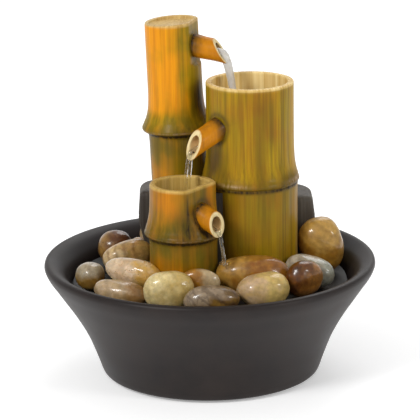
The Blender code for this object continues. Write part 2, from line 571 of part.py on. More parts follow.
# Pump ----------------------------------------------------------------------------------------
def make_pump(finish):
    black = finish["pump_plastic"]
    axis = frame_along((PUMP_X, 0, PUMP_Z), (0, 1, 0))
    left, right = PUMP_X - PUMP_HALF_W, PUMP_X + PUMP_HALF_W
    body = box("pump_body", (left, PUMP_FRONT_Y, PUMP_BOTTOM), (right, PUMP_REAR_Y, PUMP_TOP), black, bevel=1.2 * MM)
    pocket = box("stator_pocket", (7.5 * MM, 0, 15.5 * MM), (32.5 * MM, 33 * MM, 36.5 * MM))
    boolean(body, pocket)
    boolean(body, rod("well_wall", 8.4 * MM, 18 * MM, 35 * MM, segments=COARSE, place=axis), "UNION")
    boolean(body, rod("magnet_well", 7.0 * MM, 20 * MM, 50 * MM, segments=COARSE, place=axis))
    boolean(body, rod("volute", 11.0 * MM, 37 * MM, 50 * MM, segments=COARSE, place=axis))
    outlet = Matrix.Translation((BARB_XY.x, BARB_XY.y, 0))
    boolean(body, rod("outlet_seat", 3.6 * MM, 30 * MM, 50 * MM, place=outlet))
    turned("outlet_barb", mm_points(
        (1.6, 36.6), (3.3, 36.6), (3.3, 40.3), (4.4, 40.3), (4.4, 41.8), (2.1, 43), (2.5, 45), (2.1, 47),
        (2.5, 48.5), (2.0, 51.5), (1.6, 51.5),
    ), TINY, black, closed=True, place=outlet)

    steel, copper = finish["core_steel"], finish["copper"]
    core = box("stator_core", (8.0 * MM, 10 * MM, 20 * MM), (11.2 * MM, 31 * MM, 32 * MM), steel)
    boolean(core, box("core_leg", (28.8 * MM, 10 * MM, 20 * MM), (32.0 * MM, 31 * MM, 32 * MM)), "UNION")
    boolean(core, box("core_bridge", (8.1 * MM, 10.01 * MM, 20.01 * MM), (31.9 * MM, 14 * MM, 31.99 * MM)), "UNION")
    coil = box("stator_coil", (12.4 * MM, 8.6 * MM, 16.4 * MM), (27.6 * MM, 15.6 * MM, 35.6 * MM), copper)
    boolean(coil, box("coil_hole", (10 * MM, 9.6 * MM, 19.6 * MM), (30 * MM, 14.4 * MM, 32.4 * MM)))
    box("potting_cap", (7.9 * MM, 6.2 * MM, 15.9 * MM), (32.1 * MM, 8.2 * MM, 36.1 * MM), finish["rubber"])
    gland = frame_along((0, 12 * MM, 20 * MM), (1, 0, 0))
    boolean(body, rod("gland_hole", 3.3 * MM, 31 * MM, 40 * MM, place=gland))
    turned("pump_cord_gland", mm_points(
        (1.8, 33.2), (3.0, 33.2), (3.0, 35.4), (4.2, 35.4), (4.2, 36.8), (2.6, 42), (1.8, 42),
    ), TINY, finish["rubber"], closed=True, place=gland)

    shaft = finish["shaft_ceramic"]
    rod("impeller_shaft", 1.0 * MM, 20.5 * MM, 43.0 * MM, shaft, segments=12, place=axis)
    ring("shaft_bush_rear", 2.6 * MM, 1.3 * MM, 20.4 * MM, 22.6 * MM, finish["rubber"], place=axis)
    magnet = ring("rotor_magnet", 6.2 * MM, 1.08 * MM, 23.2 * MM, 36.6 * MM, finish["ferrite"], segments=COARSE, place=axis)
    impeller = ring("impeller", 3.0 * MM, 1.08 * MM, 37.0 * MM, 41.4 * MM, black, place=axis)
    boolean(impeller, ring("impeller_plate", 9.4 * MM, 1.5 * MM, 37.0 * MM, 38.0 * MM, place=axis, segments=COARSE), "UNION")
    for n in range(6):
        blade = box(f"blade_{n + 1}", (2.4 * MM, -0.5 * MM, 37.2 * MM), (9.2 * MM, 0.5 * MM, 41.2 * MM))
        blade.data.transform(axis @ Matrix.Rotation(math.tau * n / 6, 4, "Z"))
        boolean(impeller, blade, "UNION")
    group("rotor", (PUMP_X, 37 * MM, PUMP_Z), magnet, impeller)
    cover = ring("volute_cover", 10.6 * MM, 2.3 * MM, 42.0 * MM, 43.7 * MM, black, segments=COARSE, place=axis)
    for n in range(4):
        hole = rod(f"volute_inlet_{n + 1}", 1.7 * MM, 40 * MM, 46 * MM, segments=10)
        hole.data.transform(axis @ Matrix.Rotation(math.tau * n / 4, 4, "Z") @ Matrix.Translation((5.2 * MM, 0, 0)))
        boolean(cover, hole)
    ring("shaft_bush_front", 2.0 * MM, 1.3 * MM, 41.9 * MM, 43.6 * MM, finish["rubber"], place=axis)

    intake = box("intake_cover", (left, 44.3 * MM, PUMP_BOTTOM), (right, 48.9 * MM, PUMP_TOP), black, bevel=1.2 * MM)
    boolean(intake, box("intake_room", (left + 2 * MM, 40 * MM, 14.3 * MM), (right - 2 * MM, 47.2 * MM, 38 * MM)))
    for n in range(7):
        x = left + (4.2 + 3.4 * n) * MM
        boolean(intake, box(f"intake_slot_{n + 1}", (x, 46 * MM, 28.5 * MM), (x + 1.5 * MM, 52 * MM, 37 * MM)))
    dial_axis = frame_along((PUMP_X, 0, 20.5 * MM), (0, 1, 0))
    boolean(intake, rod("dial_hole", 1.8 * MM, 46 * MM, 52 * MM, segments=12, place=dial_axis))
    dial = rod("flow_dial", 5.6 * MM, 49.25 * MM, 50.8 * MM, black, segments=COARSE, place=dial_axis)
    boolean(dial, rod("dial_stem", 1.4 * MM, 46.0 * MM, 50 * MM, segments=12, place=dial_axis), "UNION")
    tab = box("dial_tab", (PUMP_X - 0.8 * MM, 50 * MM, 21 * MM), (PUMP_X + 0.8 * MM, 52.0 * MM, 26 * MM))
    boolean(dial, tab, "UNION")
    turning = group("dial", (PUMP_X, 49 * MM, 20.5 * MM), dial)
    pulled = group("intake", (PUMP_X, 44 * MM, PUMP_Z), intake)
    turning.parent = pulled
    turning.matrix_parent_inverse = Matrix.Translation(-pulled.location)

    cup = mm_points((0, 9.0), (1.6, 8.7), (5.0, FLOOR_Z / MM + 0.35), (5.6, FLOOR_Z / MM + 0.35), (3.6, 10.4), (1.8, 11.0), (1.8, 12.0), (0, 12.0))
    for n, (x, y) in enumerate(((11, 12), (29, 12), (11, 38), (29, 38))):
        turned(f"suction_cup_{n + 1}", cup, TINY, finish["rubber"], place=Matrix.Translation((x * MM, y * MM, 0)))


# River stones --------------------------------------------------------------------------------
# middle x and y, half-length, half-depth, half-height, then yaw, nod and roll in degrees, then its height
# above the tray, for one that lies on its neighbours
STONES = (
    (-25.5, -64.2, 15.2, 9.6, 12.0, 4, 0, 0, 0),
    (32.8, -60.5, 17.4, 10.6, 10.2, 14, 4, -3, 0.5),
    (-54.5, -55.5, 17.6, 8.8, 7.4, -24, 4, 5, 0.8),
    (-45.5, -39.5, 19.4, 8.4, 8.6, -25, 0, 6, 7.5),
    (-75.5, -21.0, 9.8, 8.6, 8.4, 70, 0, 0, 0),
    (-52.0, 11.0, 16.2, 9.6, 9.6, 14, 0, -8, 2.0),
    (-61.5, 32.0, 11.4, 10.2, 10.4, 25, 0, -6, 1.2),
    (0.8, -75.5, 17.4, 8.6, 9.0, 2, 0, -3, 0),
    (26.5, -38.0, 23.0, 12.4, 11.8, 4, 6, 2, 1.5),
    (59.5, -20.5, 19.0, 9.2, 9.8, -30, 0, 6, 1.5),
    (54.0, -38.8, 13.6, 9.4, 12.0, 32, 4, 6, 0.8),
    (70.3, 8.5, 14.2, 11.4, 17.4, 5, 0, -10, 1.5),
    (-10.0, -55.4, 13.8, 4.6, 8.4, -3, 0, 3, 6.0),
    (-61.0, -33.0, 7.6, 6.0, 4.6, -20, 0, 0, 0),
    (78.0, 32.5, 9.0, 7.4, 9.4, 72, 0, 0, 0),
    (-35.0, 69.5, 12.0, 9.4, 9.4, 30, 0, 0, 0),
    (-15.5, 75.0, 11.6, 9.2, 9.0, 8, 0, 6, 0),
    (18.0, 76.0, 12.0, 8.6, 9.6, -12, 0, -4, 0),
    (46.5, 69.0, 12.6, 9.0, 9.2, -34, 0, 0, 0),
    (68.0, 51.0, 10.8, 9.0, 9.4, -50, 0, 0, 0),
    (-60.0, 54.0, 10.6, 8.6, 6.8, 48, 0, 0, 0),
    (-47.0, 44.0, 8.0, 6.4, 7.0, 80, 0, 0, 0),
    (-34.0, -3.0, 7.4, 5.6, 6.4, 60, 0, 0, 0),
)
STONE_SEGMENTS, STONE_RINGS = 10, 7
STONE_GAP = 0.2 * MM


def make_stone(name, row, finish, lumpiness, rest_z):
    """A tumbled pebble resting at a height: a squashed ball, blunter at one end and fuller at the other."""
    x, y, a, b, c, yaw, nod, roll, lift = row
    bm = bmesh.new()
    bmesh.ops.create_uvsphere(bm, u_segments=STONE_SEGMENTS, v_segments=STONE_RINGS, radius=1.0)
    for vert in bm.verts:
        p = vert.co
        blunt = 1.0 + 0.06 * math.cos(2 * math.atan2(p.y, p.x) + lumpiness)
        taper = 1.0 + 0.10 * math.sin(lumpiness) * p.x
        vert.co = Vector((p.x * a * blunt, p.y * b * blunt * taper, p.z * c * taper)) * MM
    turn = Euler([math.radians(v) for v in (nod, roll, yaw)]).to_matrix().to_4x4()
    bmesh.ops.transform(bm, matrix=turn, verts=bm.verts)
    stone = piece(name, bm, finish["river_stone"])
    stone.location = (x * MM, y * MM, 0)
    rest(stone, rest_z + lift * MM)
    return stone


def rest(stone, rest_z):
    """Stands the stone on a level."""
    stone.location.z = rest_z - min(v.co.z for v in stone.data.vertices)


def tree_of(obj, graph):
    """A BVH tree of the object as it is evaluated, in world space."""
    evaluated = obj.evaluated_get(graph)
    mesh = evaluated.to_mesh()
    points = [evaluated.matrix_world @ v.co for v in mesh.vertices]
    faces = [tuple(p.vertices) for p in mesh.polygons]
    evaluated.to_mesh_clear()
    return BVHTree.FromPolygons(points, faces)


def stone_shell(stone):
    """The stone's points and faces in world space, grown by the clearance it keeps from everything."""
    points = []
    for vert in stone.data.vertices:
        radius = vert.co.length
        points.append(stone.location + vert.co * ((radius + STONE_GAP) / radius))
    return points, [tuple(p.vertices) for p in stone.data.polygons]


def make_stones(finish, obstacles, rest_z):
    """Lays the stones one by one. Each is nudged off what it touches and, if that fails, worn down a little."""
    bpy.context.view_layer.update()
    graph = bpy.context.evaluated_depsgraph_get()
    placed = [tree_of(obstacle, graph) for obstacle in obstacles]
    for n, row in enumerate(STONES):
        stone = make_stone(f"stone_{n + 1:02d}", row, finish, 2.4 * n, rest_z)
        for attempt in range(120):
            points, faces = stone_shell(stone)
            shell = BVHTree.FromPolygons(points, faces)
            touched = [i for other in placed for i, _ in shell.overlap(other)]
            if not touched:
                break
            corners = [points[k] for i in touched for k in faces[i]]
            away = stone.location - sum(corners, Vector()) / len(corners)
            away.z = 0
            if away.length > 1e-6:
                stone.location += away.normalized() * 0.25 * MM
            if attempt % 8 == 7:
                stone.data.transform(Matrix.Scale(0.98, 4))
                rest(stone, rest_z + row[8] * MM)
        moved = (stone.location.xy - Vector(row[:2]) * MM).length / MM
        print(stone.name, "moved", round(moved, 1), "mm, attempts", attempt)
        placed.append(BVHTree.FromPolygons(*stone_shell(stone)))


def main():
    clear_scene()
    finish = make_finishes()
    spouts = make_spouts()
    tubes = [spout.make(finish["bamboo"]) for spout in spouts]
    wide, tall, short = make_canes(finish, spouts)
    cutters = [
        turned("wide_room", solid_from(grown(WIDE_OUTLINE, GAP)), FINE, place=upright(WIDE_XY)),
        turned("tall_room", solid_from(grown(TALL_OUTLINE, GAP)), COARSE + 8, place=leaning(TALL_XY, TALL_LEAN)),
        turned("short_room", solid_from(grown(SHORT_OUTLINE, GAP)), COARSE + 12, place=upright(SHORT_XY)),
    ]
    housing, rear_cover = make_housing(finish, cutters)
    section_z = LEDGE_Z + GAP + TRAY_T
    ways = [
        rod("wide_way", 31.2 * MM, 0, 0.1, segments=COARSE, place=upright(WIDE_XY)),
        rod("short_way", 22.6 * MM, 0, 0.1, segments=COARSE, place=upright(SHORT_XY)),
        skinned("housing_way", [(section_z - 12 * MM, -2.2 * MM), (section_z + 2 * MM, -1.6 * MM)]),
        box("web_way", (-9 * MM, -21.5 * MM, 30 * MM), (12 * MM, 26 * MM, 80 * MM)),
        box("tall_way", (-34 * MM, 6 * MM, 30 * MM), (0, 26 * MM, 80 * MM)),
    ]
    bowl = make_bowl(finish)
    tray = make_tray(finish, ways)
    riser = make_riser(finish, spouts[0])
    make_pump(finish)
    make_stones(finish, (bowl, tray, housing, wide, tall, short), LEDGE_Z + TRAY_T + 2 * GAP)
    tower = group("tower", (0, HOUSING_FRONT_Y, 0), wide, tall, short, *tubes, housing, riser)
    sliding = group("cover", (20 * MM, HOUSING_BACK_Y, 64 * MM), rear_cover)
    sliding.parent = tower
    sliding.matrix_parent_inverse = Matrix.Translation(-tower.location)


main()
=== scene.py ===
# %% [markdown]
# # A tabletop fountain of cut bamboo
# The real object is a dark cast bowl full of river stones. Three bamboo canes of painted resin stand in it
# against a slate-coloured housing, and water runs from cane to cane through slanted spouts.
# Each piece below is made around the solids of the same name, so sizes and places come from them.

# %% Load the solids
import json
import math

import bmesh
import bpy
import numpy as np
from mathutils import Matrix, Vector, noise


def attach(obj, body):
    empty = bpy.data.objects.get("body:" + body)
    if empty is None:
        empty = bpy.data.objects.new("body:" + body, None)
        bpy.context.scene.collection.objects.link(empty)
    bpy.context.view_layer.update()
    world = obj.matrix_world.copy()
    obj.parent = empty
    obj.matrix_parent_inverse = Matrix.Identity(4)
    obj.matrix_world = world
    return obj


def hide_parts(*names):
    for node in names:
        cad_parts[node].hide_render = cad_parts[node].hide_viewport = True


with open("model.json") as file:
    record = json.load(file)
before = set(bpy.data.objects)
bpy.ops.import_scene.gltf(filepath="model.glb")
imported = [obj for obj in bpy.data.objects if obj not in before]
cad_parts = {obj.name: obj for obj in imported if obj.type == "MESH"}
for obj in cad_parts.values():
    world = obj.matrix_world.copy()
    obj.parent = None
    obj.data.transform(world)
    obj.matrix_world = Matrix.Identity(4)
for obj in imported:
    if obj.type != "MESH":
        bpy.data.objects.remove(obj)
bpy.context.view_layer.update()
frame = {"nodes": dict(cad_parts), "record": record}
nodes = frame["nodes"]
MM = 0.001

# %% [markdown]
# ## Colours and nodes
# Colours are easiest to pick as the hex values of a paint card, but a shader wants linear light, so one
# function turns them. One more function adds any shader node with its settings and links. Written once,
# it keeps every finish below short enough to read as a recipe.

# %% Colour and node helpers
def linear(hex_colour):
    """A #rrggbb colour as linear red, green, blue and alpha."""
    channels = [int(hex_colour[i:i + 2], 16) / 255 for i in (1, 3, 5)]
    return (*[c / 12.92 if c <= 0.04045 else ((c + 0.055) / 1.055) ** 2.4 for c in channels], 1.0)


def add(tree, kind, sockets=None, stops=None, **settings):
    """Adds a node. Sockets are given a value, or another node's output to be linked to."""
    made = tree.nodes.new(kind)
    for name, value in settings.items():
        setattr(made, name, value)
    for key, value in (sockets or {}).items():
        if isinstance(value, bpy.types.NodeSocket):
            tree.links.new(value, made.inputs[key])
        else:
            made.inputs[key].default_value = value
    if stops:
        while len(made.color_ramp.elements) < len(stops):
            made.color_ramp.elements.new(0.5)
        for element, (position, shade) in zip(made.color_ramp.elements, stops):
            element.position = position
            element.color = linear(shade) if isinstance(shade, str) else (shade, shade, shade, 1.0)
    return made


def finish(name, **surface):
    """An empty finish: its material, its node tree and its shader with the given constant values."""
    material = bpy.data.materials.new(name)
    material.use_nodes = True
    tree = material.node_tree
    shader = tree.nodes["Principled BSDF"]
    for key, value in surface.items():
        socket = shader.inputs[key.replace("_", " ")]
        socket.default_value = value
    return material, tree, shader


print("white is", linear("#ffffff"))

# %% [markdown]
# ## Painted bamboo
# The canes are cast in resin and painted: an olive or amber ground, brushed along the cane so that fine
# streaks follow the fibre, darkening that is partly a dark wash in the hollows and partly painted shade
# under the nodes, down the shaded sides, round the spouts and down the cups, a paler dry brush that is
# painted highlight along the node rings, and pale wood left at every cut. Streaks are noise squeezed to
# under a millimetre across and drawn out along the cane, in three widths, because paint drags in fine lines
# inside broad ones.
# Where each paint lies depends on the place on the cane, so every cane's mesh carries a colour attribute
# called paint: red is amber, green is the dark wash with painted shade, blue is the cut wood, and alpha is
# the dry brush with painted highlight.

# %% Bamboo paint
FIBRE = 0.8 * MM  # width of one painted streak
BROAD = 3.2 * MM  # width of one stroke of the brush
BLOTCH = 15 * MM  # size of a cloud of colour


def streaks_along(tree, place, width, length, low, high):
    """Noise drawn out along the cane, spread between 0 and 1."""
    laid = add(tree, "ShaderNodeMapping", {0: place, "Scale": (1 / width, 1 / width, 1 / length)})
    drawn = add(tree, "ShaderNodeTexNoise", {0: laid.outputs[0], "Scale": 0.5, "Detail": 3.0, "Roughness": 0.6})
    return add(tree, "ShaderNodeMapRange", {0: drawn.outputs[0], 1: low, 2: high}).outputs[0]


def blend_of(tree, factor, first, second):
    """Mixes two colours, each a hex value or another node's output."""
    pair = [linear(c) if isinstance(c, str) else c for c in (first, second)]
    return add(tree, "ShaderNodeMix", {0: factor, 6: pair[0], 7: pair[1]}, data_type="RGBA").outputs[2]


def bamboo_paint(name, olive, olive_dark, amber, amber_dark, streaky=1.0, cut=("#b48c4e", "#e2c88a")):
    """Satin acrylic over cast resin: a soft broad sheen, and relief that follows the fibre."""
    material, tree, shader = finish(name, Roughness=0.42, Coat_Weight=0.05, Coat_Roughness=0.2, IOR=1.45)
    shader.inputs["Specular IOR Level"].default_value = 0.15
    place = add(tree, "ShaderNodeTexCoord").outputs["Object"]
    paint = add(tree, "ShaderNodeAttribute", attribute_name="paint")
    amount = add(tree, "ShaderNodeSeparateColor", {0: paint.outputs["Color"]})
    fine = streaks_along(tree, place, FIBRE, 38 * MM, 0.36, 0.64)
    broad = streaks_along(tree, place, BROAD, 70 * MM, 0.36, 0.64)
    clouds = add(tree, "ShaderNodeTexNoise", {0: place, "Scale": 1 / BLOTCH, "Detail": 2.0})
    both = add(tree, "ShaderNodeMath", {0: fine, 1: broad}, operation="ADD")
    depth = add(tree, "ShaderNodeMath", {0: both.outputs[0], 1: 0.5 * streaky, 2: 0.5 - 0.5 * streaky},
                operation="MULTIPLY_ADD")
    cloud = add(tree, "ShaderNodeMapRange", {0: clouds.outputs[0], 1: 0.3, 2: 0.7, 3: -0.25, 4: 0.25})
    brushed = add(tree, "ShaderNodeMath", {0: broad, 1: 0.5 * streaky, 2: -0.25 * streaky},
                  operation="MULTIPLY_ADD")
    pushed = add(tree, "ShaderNodeMath", {0: brushed.outputs[0], 1: cloud.outputs[0]}, operation="ADD")
    warm = add(tree, "ShaderNodeMath", {0: amount.outputs[0], 1: pushed.outputs[0]},
               operation="ADD", use_clamp=True)
    ground = blend_of(tree, warm.outputs[0], blend_of(tree, depth.outputs[0], olive_dark, olive),
                      blend_of(tree, depth.outputs[0], amber_dark, amber))
    ragged = add(tree, "ShaderNodeMath", {0: fine, 1: 0.7, 2: 0.65}, operation="MULTIPLY_ADD")
    # Green darkens towards #2c2112: partly a dark wash of paint, partly painted shade.
    wash_and_shade = add(tree, "ShaderNodeMath", {0: amount.outputs[1], 1: ragged.outputs[0]},
               operation="MULTIPLY", use_clamp=True)
    dark = blend_of(tree, wash_and_shade.outputs[0], ground, "#2c2112")
    # Alpha lays #b99a78 along the fibre: a dry brush that is painted highlight on the node rings.
    skip = add(tree, "ShaderNodeMath", {0: fine, 1: paint.outputs["Alpha"]},
               operation="MULTIPLY", use_clamp=True)
    dry_brush_highlight = blend_of(tree, skip.outputs[0], dark, "#b99a78")
    wood = blend_of(tree, depth.outputs[0], *cut)
    # The cut wood darkens the same way, with painted shade deepening down the cups.
    darkened = blend_of(tree, wash_and_shade.outputs[0], wood, "#7a5f33")
    coloured = blend_of(tree, amount.outputs[2], dry_brush_highlight, darkened)
    tree.links.new(coloured, shader.inputs["Base Color"])
    relief = add(tree, "ShaderNodeBump", {"Height": fine, "Distance": 0.16 * MM, "Strength": 0.5})
    tree.links.new(relief.outputs[0], shader.inputs["Normal"])
    rough = add(tree, "ShaderNodeMapRange", {0: broad, 3: 0.34, 4: 0.5})
    tree.links.new(rough.outputs[0], shader.inputs["Roughness"])
    return material


wide_paint = bamboo_paint("painted_bamboo_olive", "#ae910a", "#7c640c", "#ab7a10", "#7e4f12", streaky=1.25,
                          cut=("#d3ab5c", "#f8dfa0"))
tall_paint = bamboo_paint("painted_bamboo_orange", "#a48608", "#756006", "#e89c0a", "#c87806", streaky=0.9)
short_paint = bamboo_paint("painted_bamboo_amber", "#84700c", "#5e4c08", "#c87e0a", "#9a5c0a", streaky=0.8,
                           cut=("#a9853a", "#dcbc70"))
spout_paint = bamboo_paint("painted_spout_amber", "#a06c0a", "#7a500a", "#e0900a", "#b87008", streaky=0.9,
                           cut=("#cdb070", "#f1e2b4"))
print("four bamboo paints, with streaks", FIBRE / MM, "mm wide")

# %% [markdown]
# ## Mesh helpers
# A cane, a spout and the bowl are all tubes whose radius changes on the way round and along, so they can be
# laid out as a grid of rings. Joining neighbouring rings with quads gives clean, even faces that bend light
# smoothly, which a cylinder cut by Booleans doesn't.

# %% Ring grids
def linked(name, data):
    """An object in the scene that shows a mesh, a lamp or a camera."""
    made = bpy.data.objects.new(name, data)
    bpy.context.scene.collection.objects.link(made)
    return made


def baked(piece):
    """Turns what a piece's modifiers make of it into its own plain mesh."""
    graph = bpy.context.evaluated_depsgraph_get()
    graph.update()
    result = bpy.data.meshes.new_from_object(piece.evaluated_get(graph))
    piece.modifiers.clear()
    piece.data = result


def mesh_piece(name, vertices, faces, material, sharp=40):
    mesh = bpy.data.meshes.new(name)
    mesh.from_pydata([tuple(v) for v in vertices], [], faces)
    mesh.materials.append(material)
    work = bmesh.new()
    work.from_mesh(mesh)
    bmesh.ops.recalc_face_normals(work, faces=work.faces)
    work.to_mesh(mesh)
    work.free()
    mesh.shade_smooth()
    mesh.set_sharp_from_angle(angle=math.radians(sharp))
    return linked(name, mesh)


def ring_grid(rings, closed_ends=(True, True)):
    """Vertices and faces of stacked rings of points, each end closed by a fan to its middle or left open."""
    count = len(rings[0])
    vertices = [p for ring in rings for p in ring]
    faces = []
    for k in range(len(rings) - 1):
        for a in range(count):
            b = (a + 1) % count
            faces.append((k * count + a, k * count + b, (k + 1) * count + b, (k + 1) * count + a))
    for ring_index, closed in ((0, closed_ends[0]), (len(rings) - 1, closed_ends[1])):
        if closed:
            middle = len(vertices)
            vertices.append(sum((Vector(p) for p in rings[ring_index]), Vector()) / count)
            start = ring_index * count
            faces += [(start + a, start + (a + 1) % count, middle) for a in range(count)]
    return vertices, faces


def looped_grid(rings):
    """The same, with the last ring joined to the first, for a tube with walls."""
    count = len(rings[0])
    vertices, faces = ring_grid(rings, (False, False))
    last = (len(rings) - 1) * count
    faces += [(last + a, last + (a + 1) % count, (a + 1) % count, a) for a in range(count)]
    return vertices, faces


def paint_points(piece, values):
    """Stores one colour for each vertex in the attribute that the bamboo paint reads."""
    layer = piece.data.color_attributes.new("paint", "FLOAT_COLOR", "POINT")
    flat = np.zeros((len(piece.data.vertices), 4))
    flat[:, :values.shape[1]] = np.clip(values, 0, 1)
    layer.data.foreach_set("color", flat.ravel())


def smooth_curve(points, per_span):
    """More points along the same run of points, on a curve through all of them."""
    points = [Vector(p) for p in points]
    ends = [points[0] * 2 - points[1]] + points + [points[-1] * 2 - points[-2]]
    curve = []
    for i in range(1, len(ends) - 2):
        a, b, c, d = ends[i - 1:i + 3]
        for step in range(per_span):
            t = step / per_span
            bend, twist = 2 * a - 5 * b + 4 * c - d, 3 * b - a - 3 * c + d
            curve.append(0.5 * (2 * b + (c - a) * t + bend * t * t + twist * t ** 3))
    curve.append(ends[-2])
    return curve


def combined(piece, others, operation="DIFFERENCE"):
    """Cuts others out of a piece, or joins them to it, and leaves one plain mesh."""
    for other in others:
        boolean = piece.modifiers.new(other.name, "BOOLEAN")
        boolean.operation, boolean.object, boolean.solver = operation, other, "EXACT"
    baked(piece)
    piece.data.shade_smooth()
    piece.data.set_sharp_from_angle(angle=math.radians(40))
    for other in others:
        bpy.data.objects.remove(other)


def cutter(work):
    mesh = bpy.data.meshes.new("cutter")
    work.to_mesh(mesh)
    work.free()
    return linked("cutter", mesh)


def cutter_rod(start, end, radius, segments=48):
    """A bar between two points, for cutting a round hole. Lengths are in millimetres."""
    start, end = Vector(start) * MM, Vector(end) * MM
    work = bmesh.new()
    bmesh.ops.create_cone(work, segments=segments, radius1=radius * MM, radius2=radius * MM,
                          depth=(end - start).length, cap_ends=True)
    turn = Vector((0, 0, 1)).rotation_difference((end - start).normalized()).to_matrix().to_4x4()
    bmesh.ops.transform(work, matrix=Matrix.Translation((start + end) / 2) @ turn, verts=work.verts)
    return cutter(work)


def cutter_box(low, high):
    """A block between two opposite corners, in millimetres."""
    work = bmesh.new()
    low, high = Vector(low) * MM, Vector(high) * MM
    block = Matrix.Translation((low + high) / 2) @ Matrix.Diagonal((*(high - low), 1))
    bmesh.ops.create_cube(work, matrix=block)
    return cutter(work)


def step_up(low, high, value):
    """0 below low, 1 above high, and a smooth rise between them, for single values and arrays."""
    t = np.clip((np.asarray(value, float) - low) / (high - low), 0, 1)
    return t * t * (3 - 2 * t)


print("a smooth step half way:", float(step_up(0, 1, 0.5)))

# %% [markdown]
# ## Trees that repeat and follow
# Fibre ends on the sawn rims, turns of copper wire, splashes and falling water are each one small shape many
# times over, or one section drawn along a path. Geometry Nodes suit both: the tree says the rule once, and
# its inputs are real sizes. Each result becomes a plain mesh, because an exported model keeps no instances.

# %% Geometry Nodes helpers
SOCKETS = {float: "NodeSocketFloat", int: "NodeSocketInt"}


def empty_tree(name, **sizes):
    """A tree that takes a mesh, the named sizes and a material, and the outputs of its input node."""
    tree = bpy.data.node_groups.new(name, "GeometryNodeTree")
    tree.interface.new_socket("Geometry", in_out="OUTPUT", socket_type="NodeSocketGeometry")
    tree.interface.new_socket("Geometry", in_out="INPUT", socket_type="NodeSocketGeometry")
    for label, value in sizes.items():
        socket = tree.interface.new_socket(label, in_out="INPUT", socket_type=SOCKETS[type(value)])
        socket.default_value = value
    tree.interface.new_socket("Finish", in_out="INPUT", socket_type="NodeSocketMaterial")
    return tree, add(tree, "NodeGroupInput").outputs


def end_tree(tree, shape, given):
    """Makes instances real, shades them smooth and sets the finish."""
    real = add(tree, "GeometryNodeRealizeInstances", {0: shape})
    smooth = add(tree, "GeometryNodeSetShadeSmooth", {0: real.outputs[0]})
    coated = add(tree, "GeometryNodeSetMaterial", {0: smooth.outputs[0], "Material": given["Finish"]})
    output = add(tree, "NodeGroupOutput")
    tree.links.new(coated.outputs[0], output.inputs[0])


def grow(name, mesh, tree, **sizes):
    """Runs a tree on a mesh, with its inputs set, and keeps the result as a plain mesh."""
    piece = linked(name, mesh)
    maker = piece.modifiers.new(tree.name, "NODES")
    maker.node_group = tree
    for item in tree.interface.items_tree:
        if item.in_out == "INPUT" and item.name in sizes:
            maker[item.identifier] = sizes[item.name]
    baked(piece)
    print(name, len(piece.data.polygons), "faces")
    return piece


# %% A section drawn along a path
along, given = empty_tree("drawn_along", Start=0.002, End=0.001, Ripple=0.0, Swell=0.004, Sides=14, Seed=1.0)
line = add(along, "GeometryNodeMeshToCurve", {0: given["Geometry"]})
share = add(along, "GeometryNodeSplineParameter").outputs["Factor"]
thin = add(along, "ShaderNodeMapRange", {0: share, 3: given["Start"], 4: given["End"]})
left = add(along, "ShaderNodeMath", {0: 1.0, 1: share}, operation="SUBTRACT")
nearest = add(along, "ShaderNodeMath", {0: share, 1: left.outputs[0]}, operation="MINIMUM")
blunt = add(along, "ShaderNodeMapRange", {0: nearest.outputs[0], 1: 0.0, 2: 0.04, 3: 0.35, 4: 1.0})
radius = add(along, "ShaderNodeMath", {0: thin.outputs[0], 1: blunt.outputs[0]}, operation="MULTIPLY")
section = add(along, "GeometryNodeCurvePrimitiveCircle", {"Resolution": given["Sides"], "Radius": 1.0})
skin = add(along, "GeometryNodeCurveToMesh",
           {0: line.outputs[0], 1: section.outputs[0], "Scale": radius.outputs[0], "Fill Caps": True})
fine = add(along, "ShaderNodeMath", {0: 1.0, 1: given["Swell"]}, operation="DIVIDE")
waves = add(along, "ShaderNodeTexNoise", {"W": given["Seed"], "Detail": 1.0, "Scale": fine.outputs[0]},
            noise_dimensions="4D")
even = add(along, "ShaderNodeMath", {0: waves.outputs[0], 1: 0.5}, operation="SUBTRACT")
push = add(along, "ShaderNodeMath", {0: even.outputs[0], 1: given["Ripple"]}, operation="MULTIPLY")
way = add(along, "GeometryNodeInputNormal")
moved = add(along, "ShaderNodeVectorMath", {0: way.outputs[0], "Scale": push.outputs[0]}, operation="SCALE")
rippled = add(along, "GeometryNodeSetPosition", {0: skin.outputs[0], "Offset": moved.outputs[0]})
end_tree(along, rippled.outputs[0], given)
print("drawn_along:", len(along.nodes), "nodes")

# %% Dots scattered on a face
scatter, given = empty_tree("scattered", Density=5e5, Apart=0.0008, Dot=0.0003, Flat=0.4, Rise=0.0,
                            Above=0.0, Seed=1)
facing = add(scatter, "GeometryNodeInputNormal")
turned = add(scatter, "ShaderNodeSeparateXYZ", {0: facing.outputs[0]})
upward = add(scatter, "ShaderNodeMath", {0: turned.outputs[2], 1: 0.85}, operation="GREATER_THAN")
here = add(scatter, "ShaderNodeSeparateXYZ", {0: add(scatter, "GeometryNodeInputPosition").outputs[0]})
high = add(scatter, "ShaderNodeMath", {0: here.outputs[2], 1: given["Above"]}, operation="GREATER_THAN")
chosen = add(scatter, "ShaderNodeMath", {0: upward.outputs[0], 1: high.outputs[0]}, operation="MULTIPLY")
spread = add(scatter, "GeometryNodeDistributePointsOnFaces",
             {0: given["Geometry"], "Selection": chosen.outputs[0], "Distance Min": given["Apart"],
              "Density Max": given["Density"], "Seed": given["Seed"]}, distribute_method="POISSON")
bead = add(scatter, "GeometryNodeMeshIcoSphere", {"Radius": given["Dot"], "Subdivisions": 2})
lifted = add(scatter, "FunctionNodeRandomValue", {2: 0.0, 3: given["Rise"], "Seed": given["Seed"]},
             data_type="FLOAT")
lift = add(scatter, "ShaderNodeCombineXYZ", {2: lifted.outputs[1]})
raised = add(scatter, "GeometryNodeSetPosition", {0: spread.outputs[0], "Offset": lift.outputs[0]})
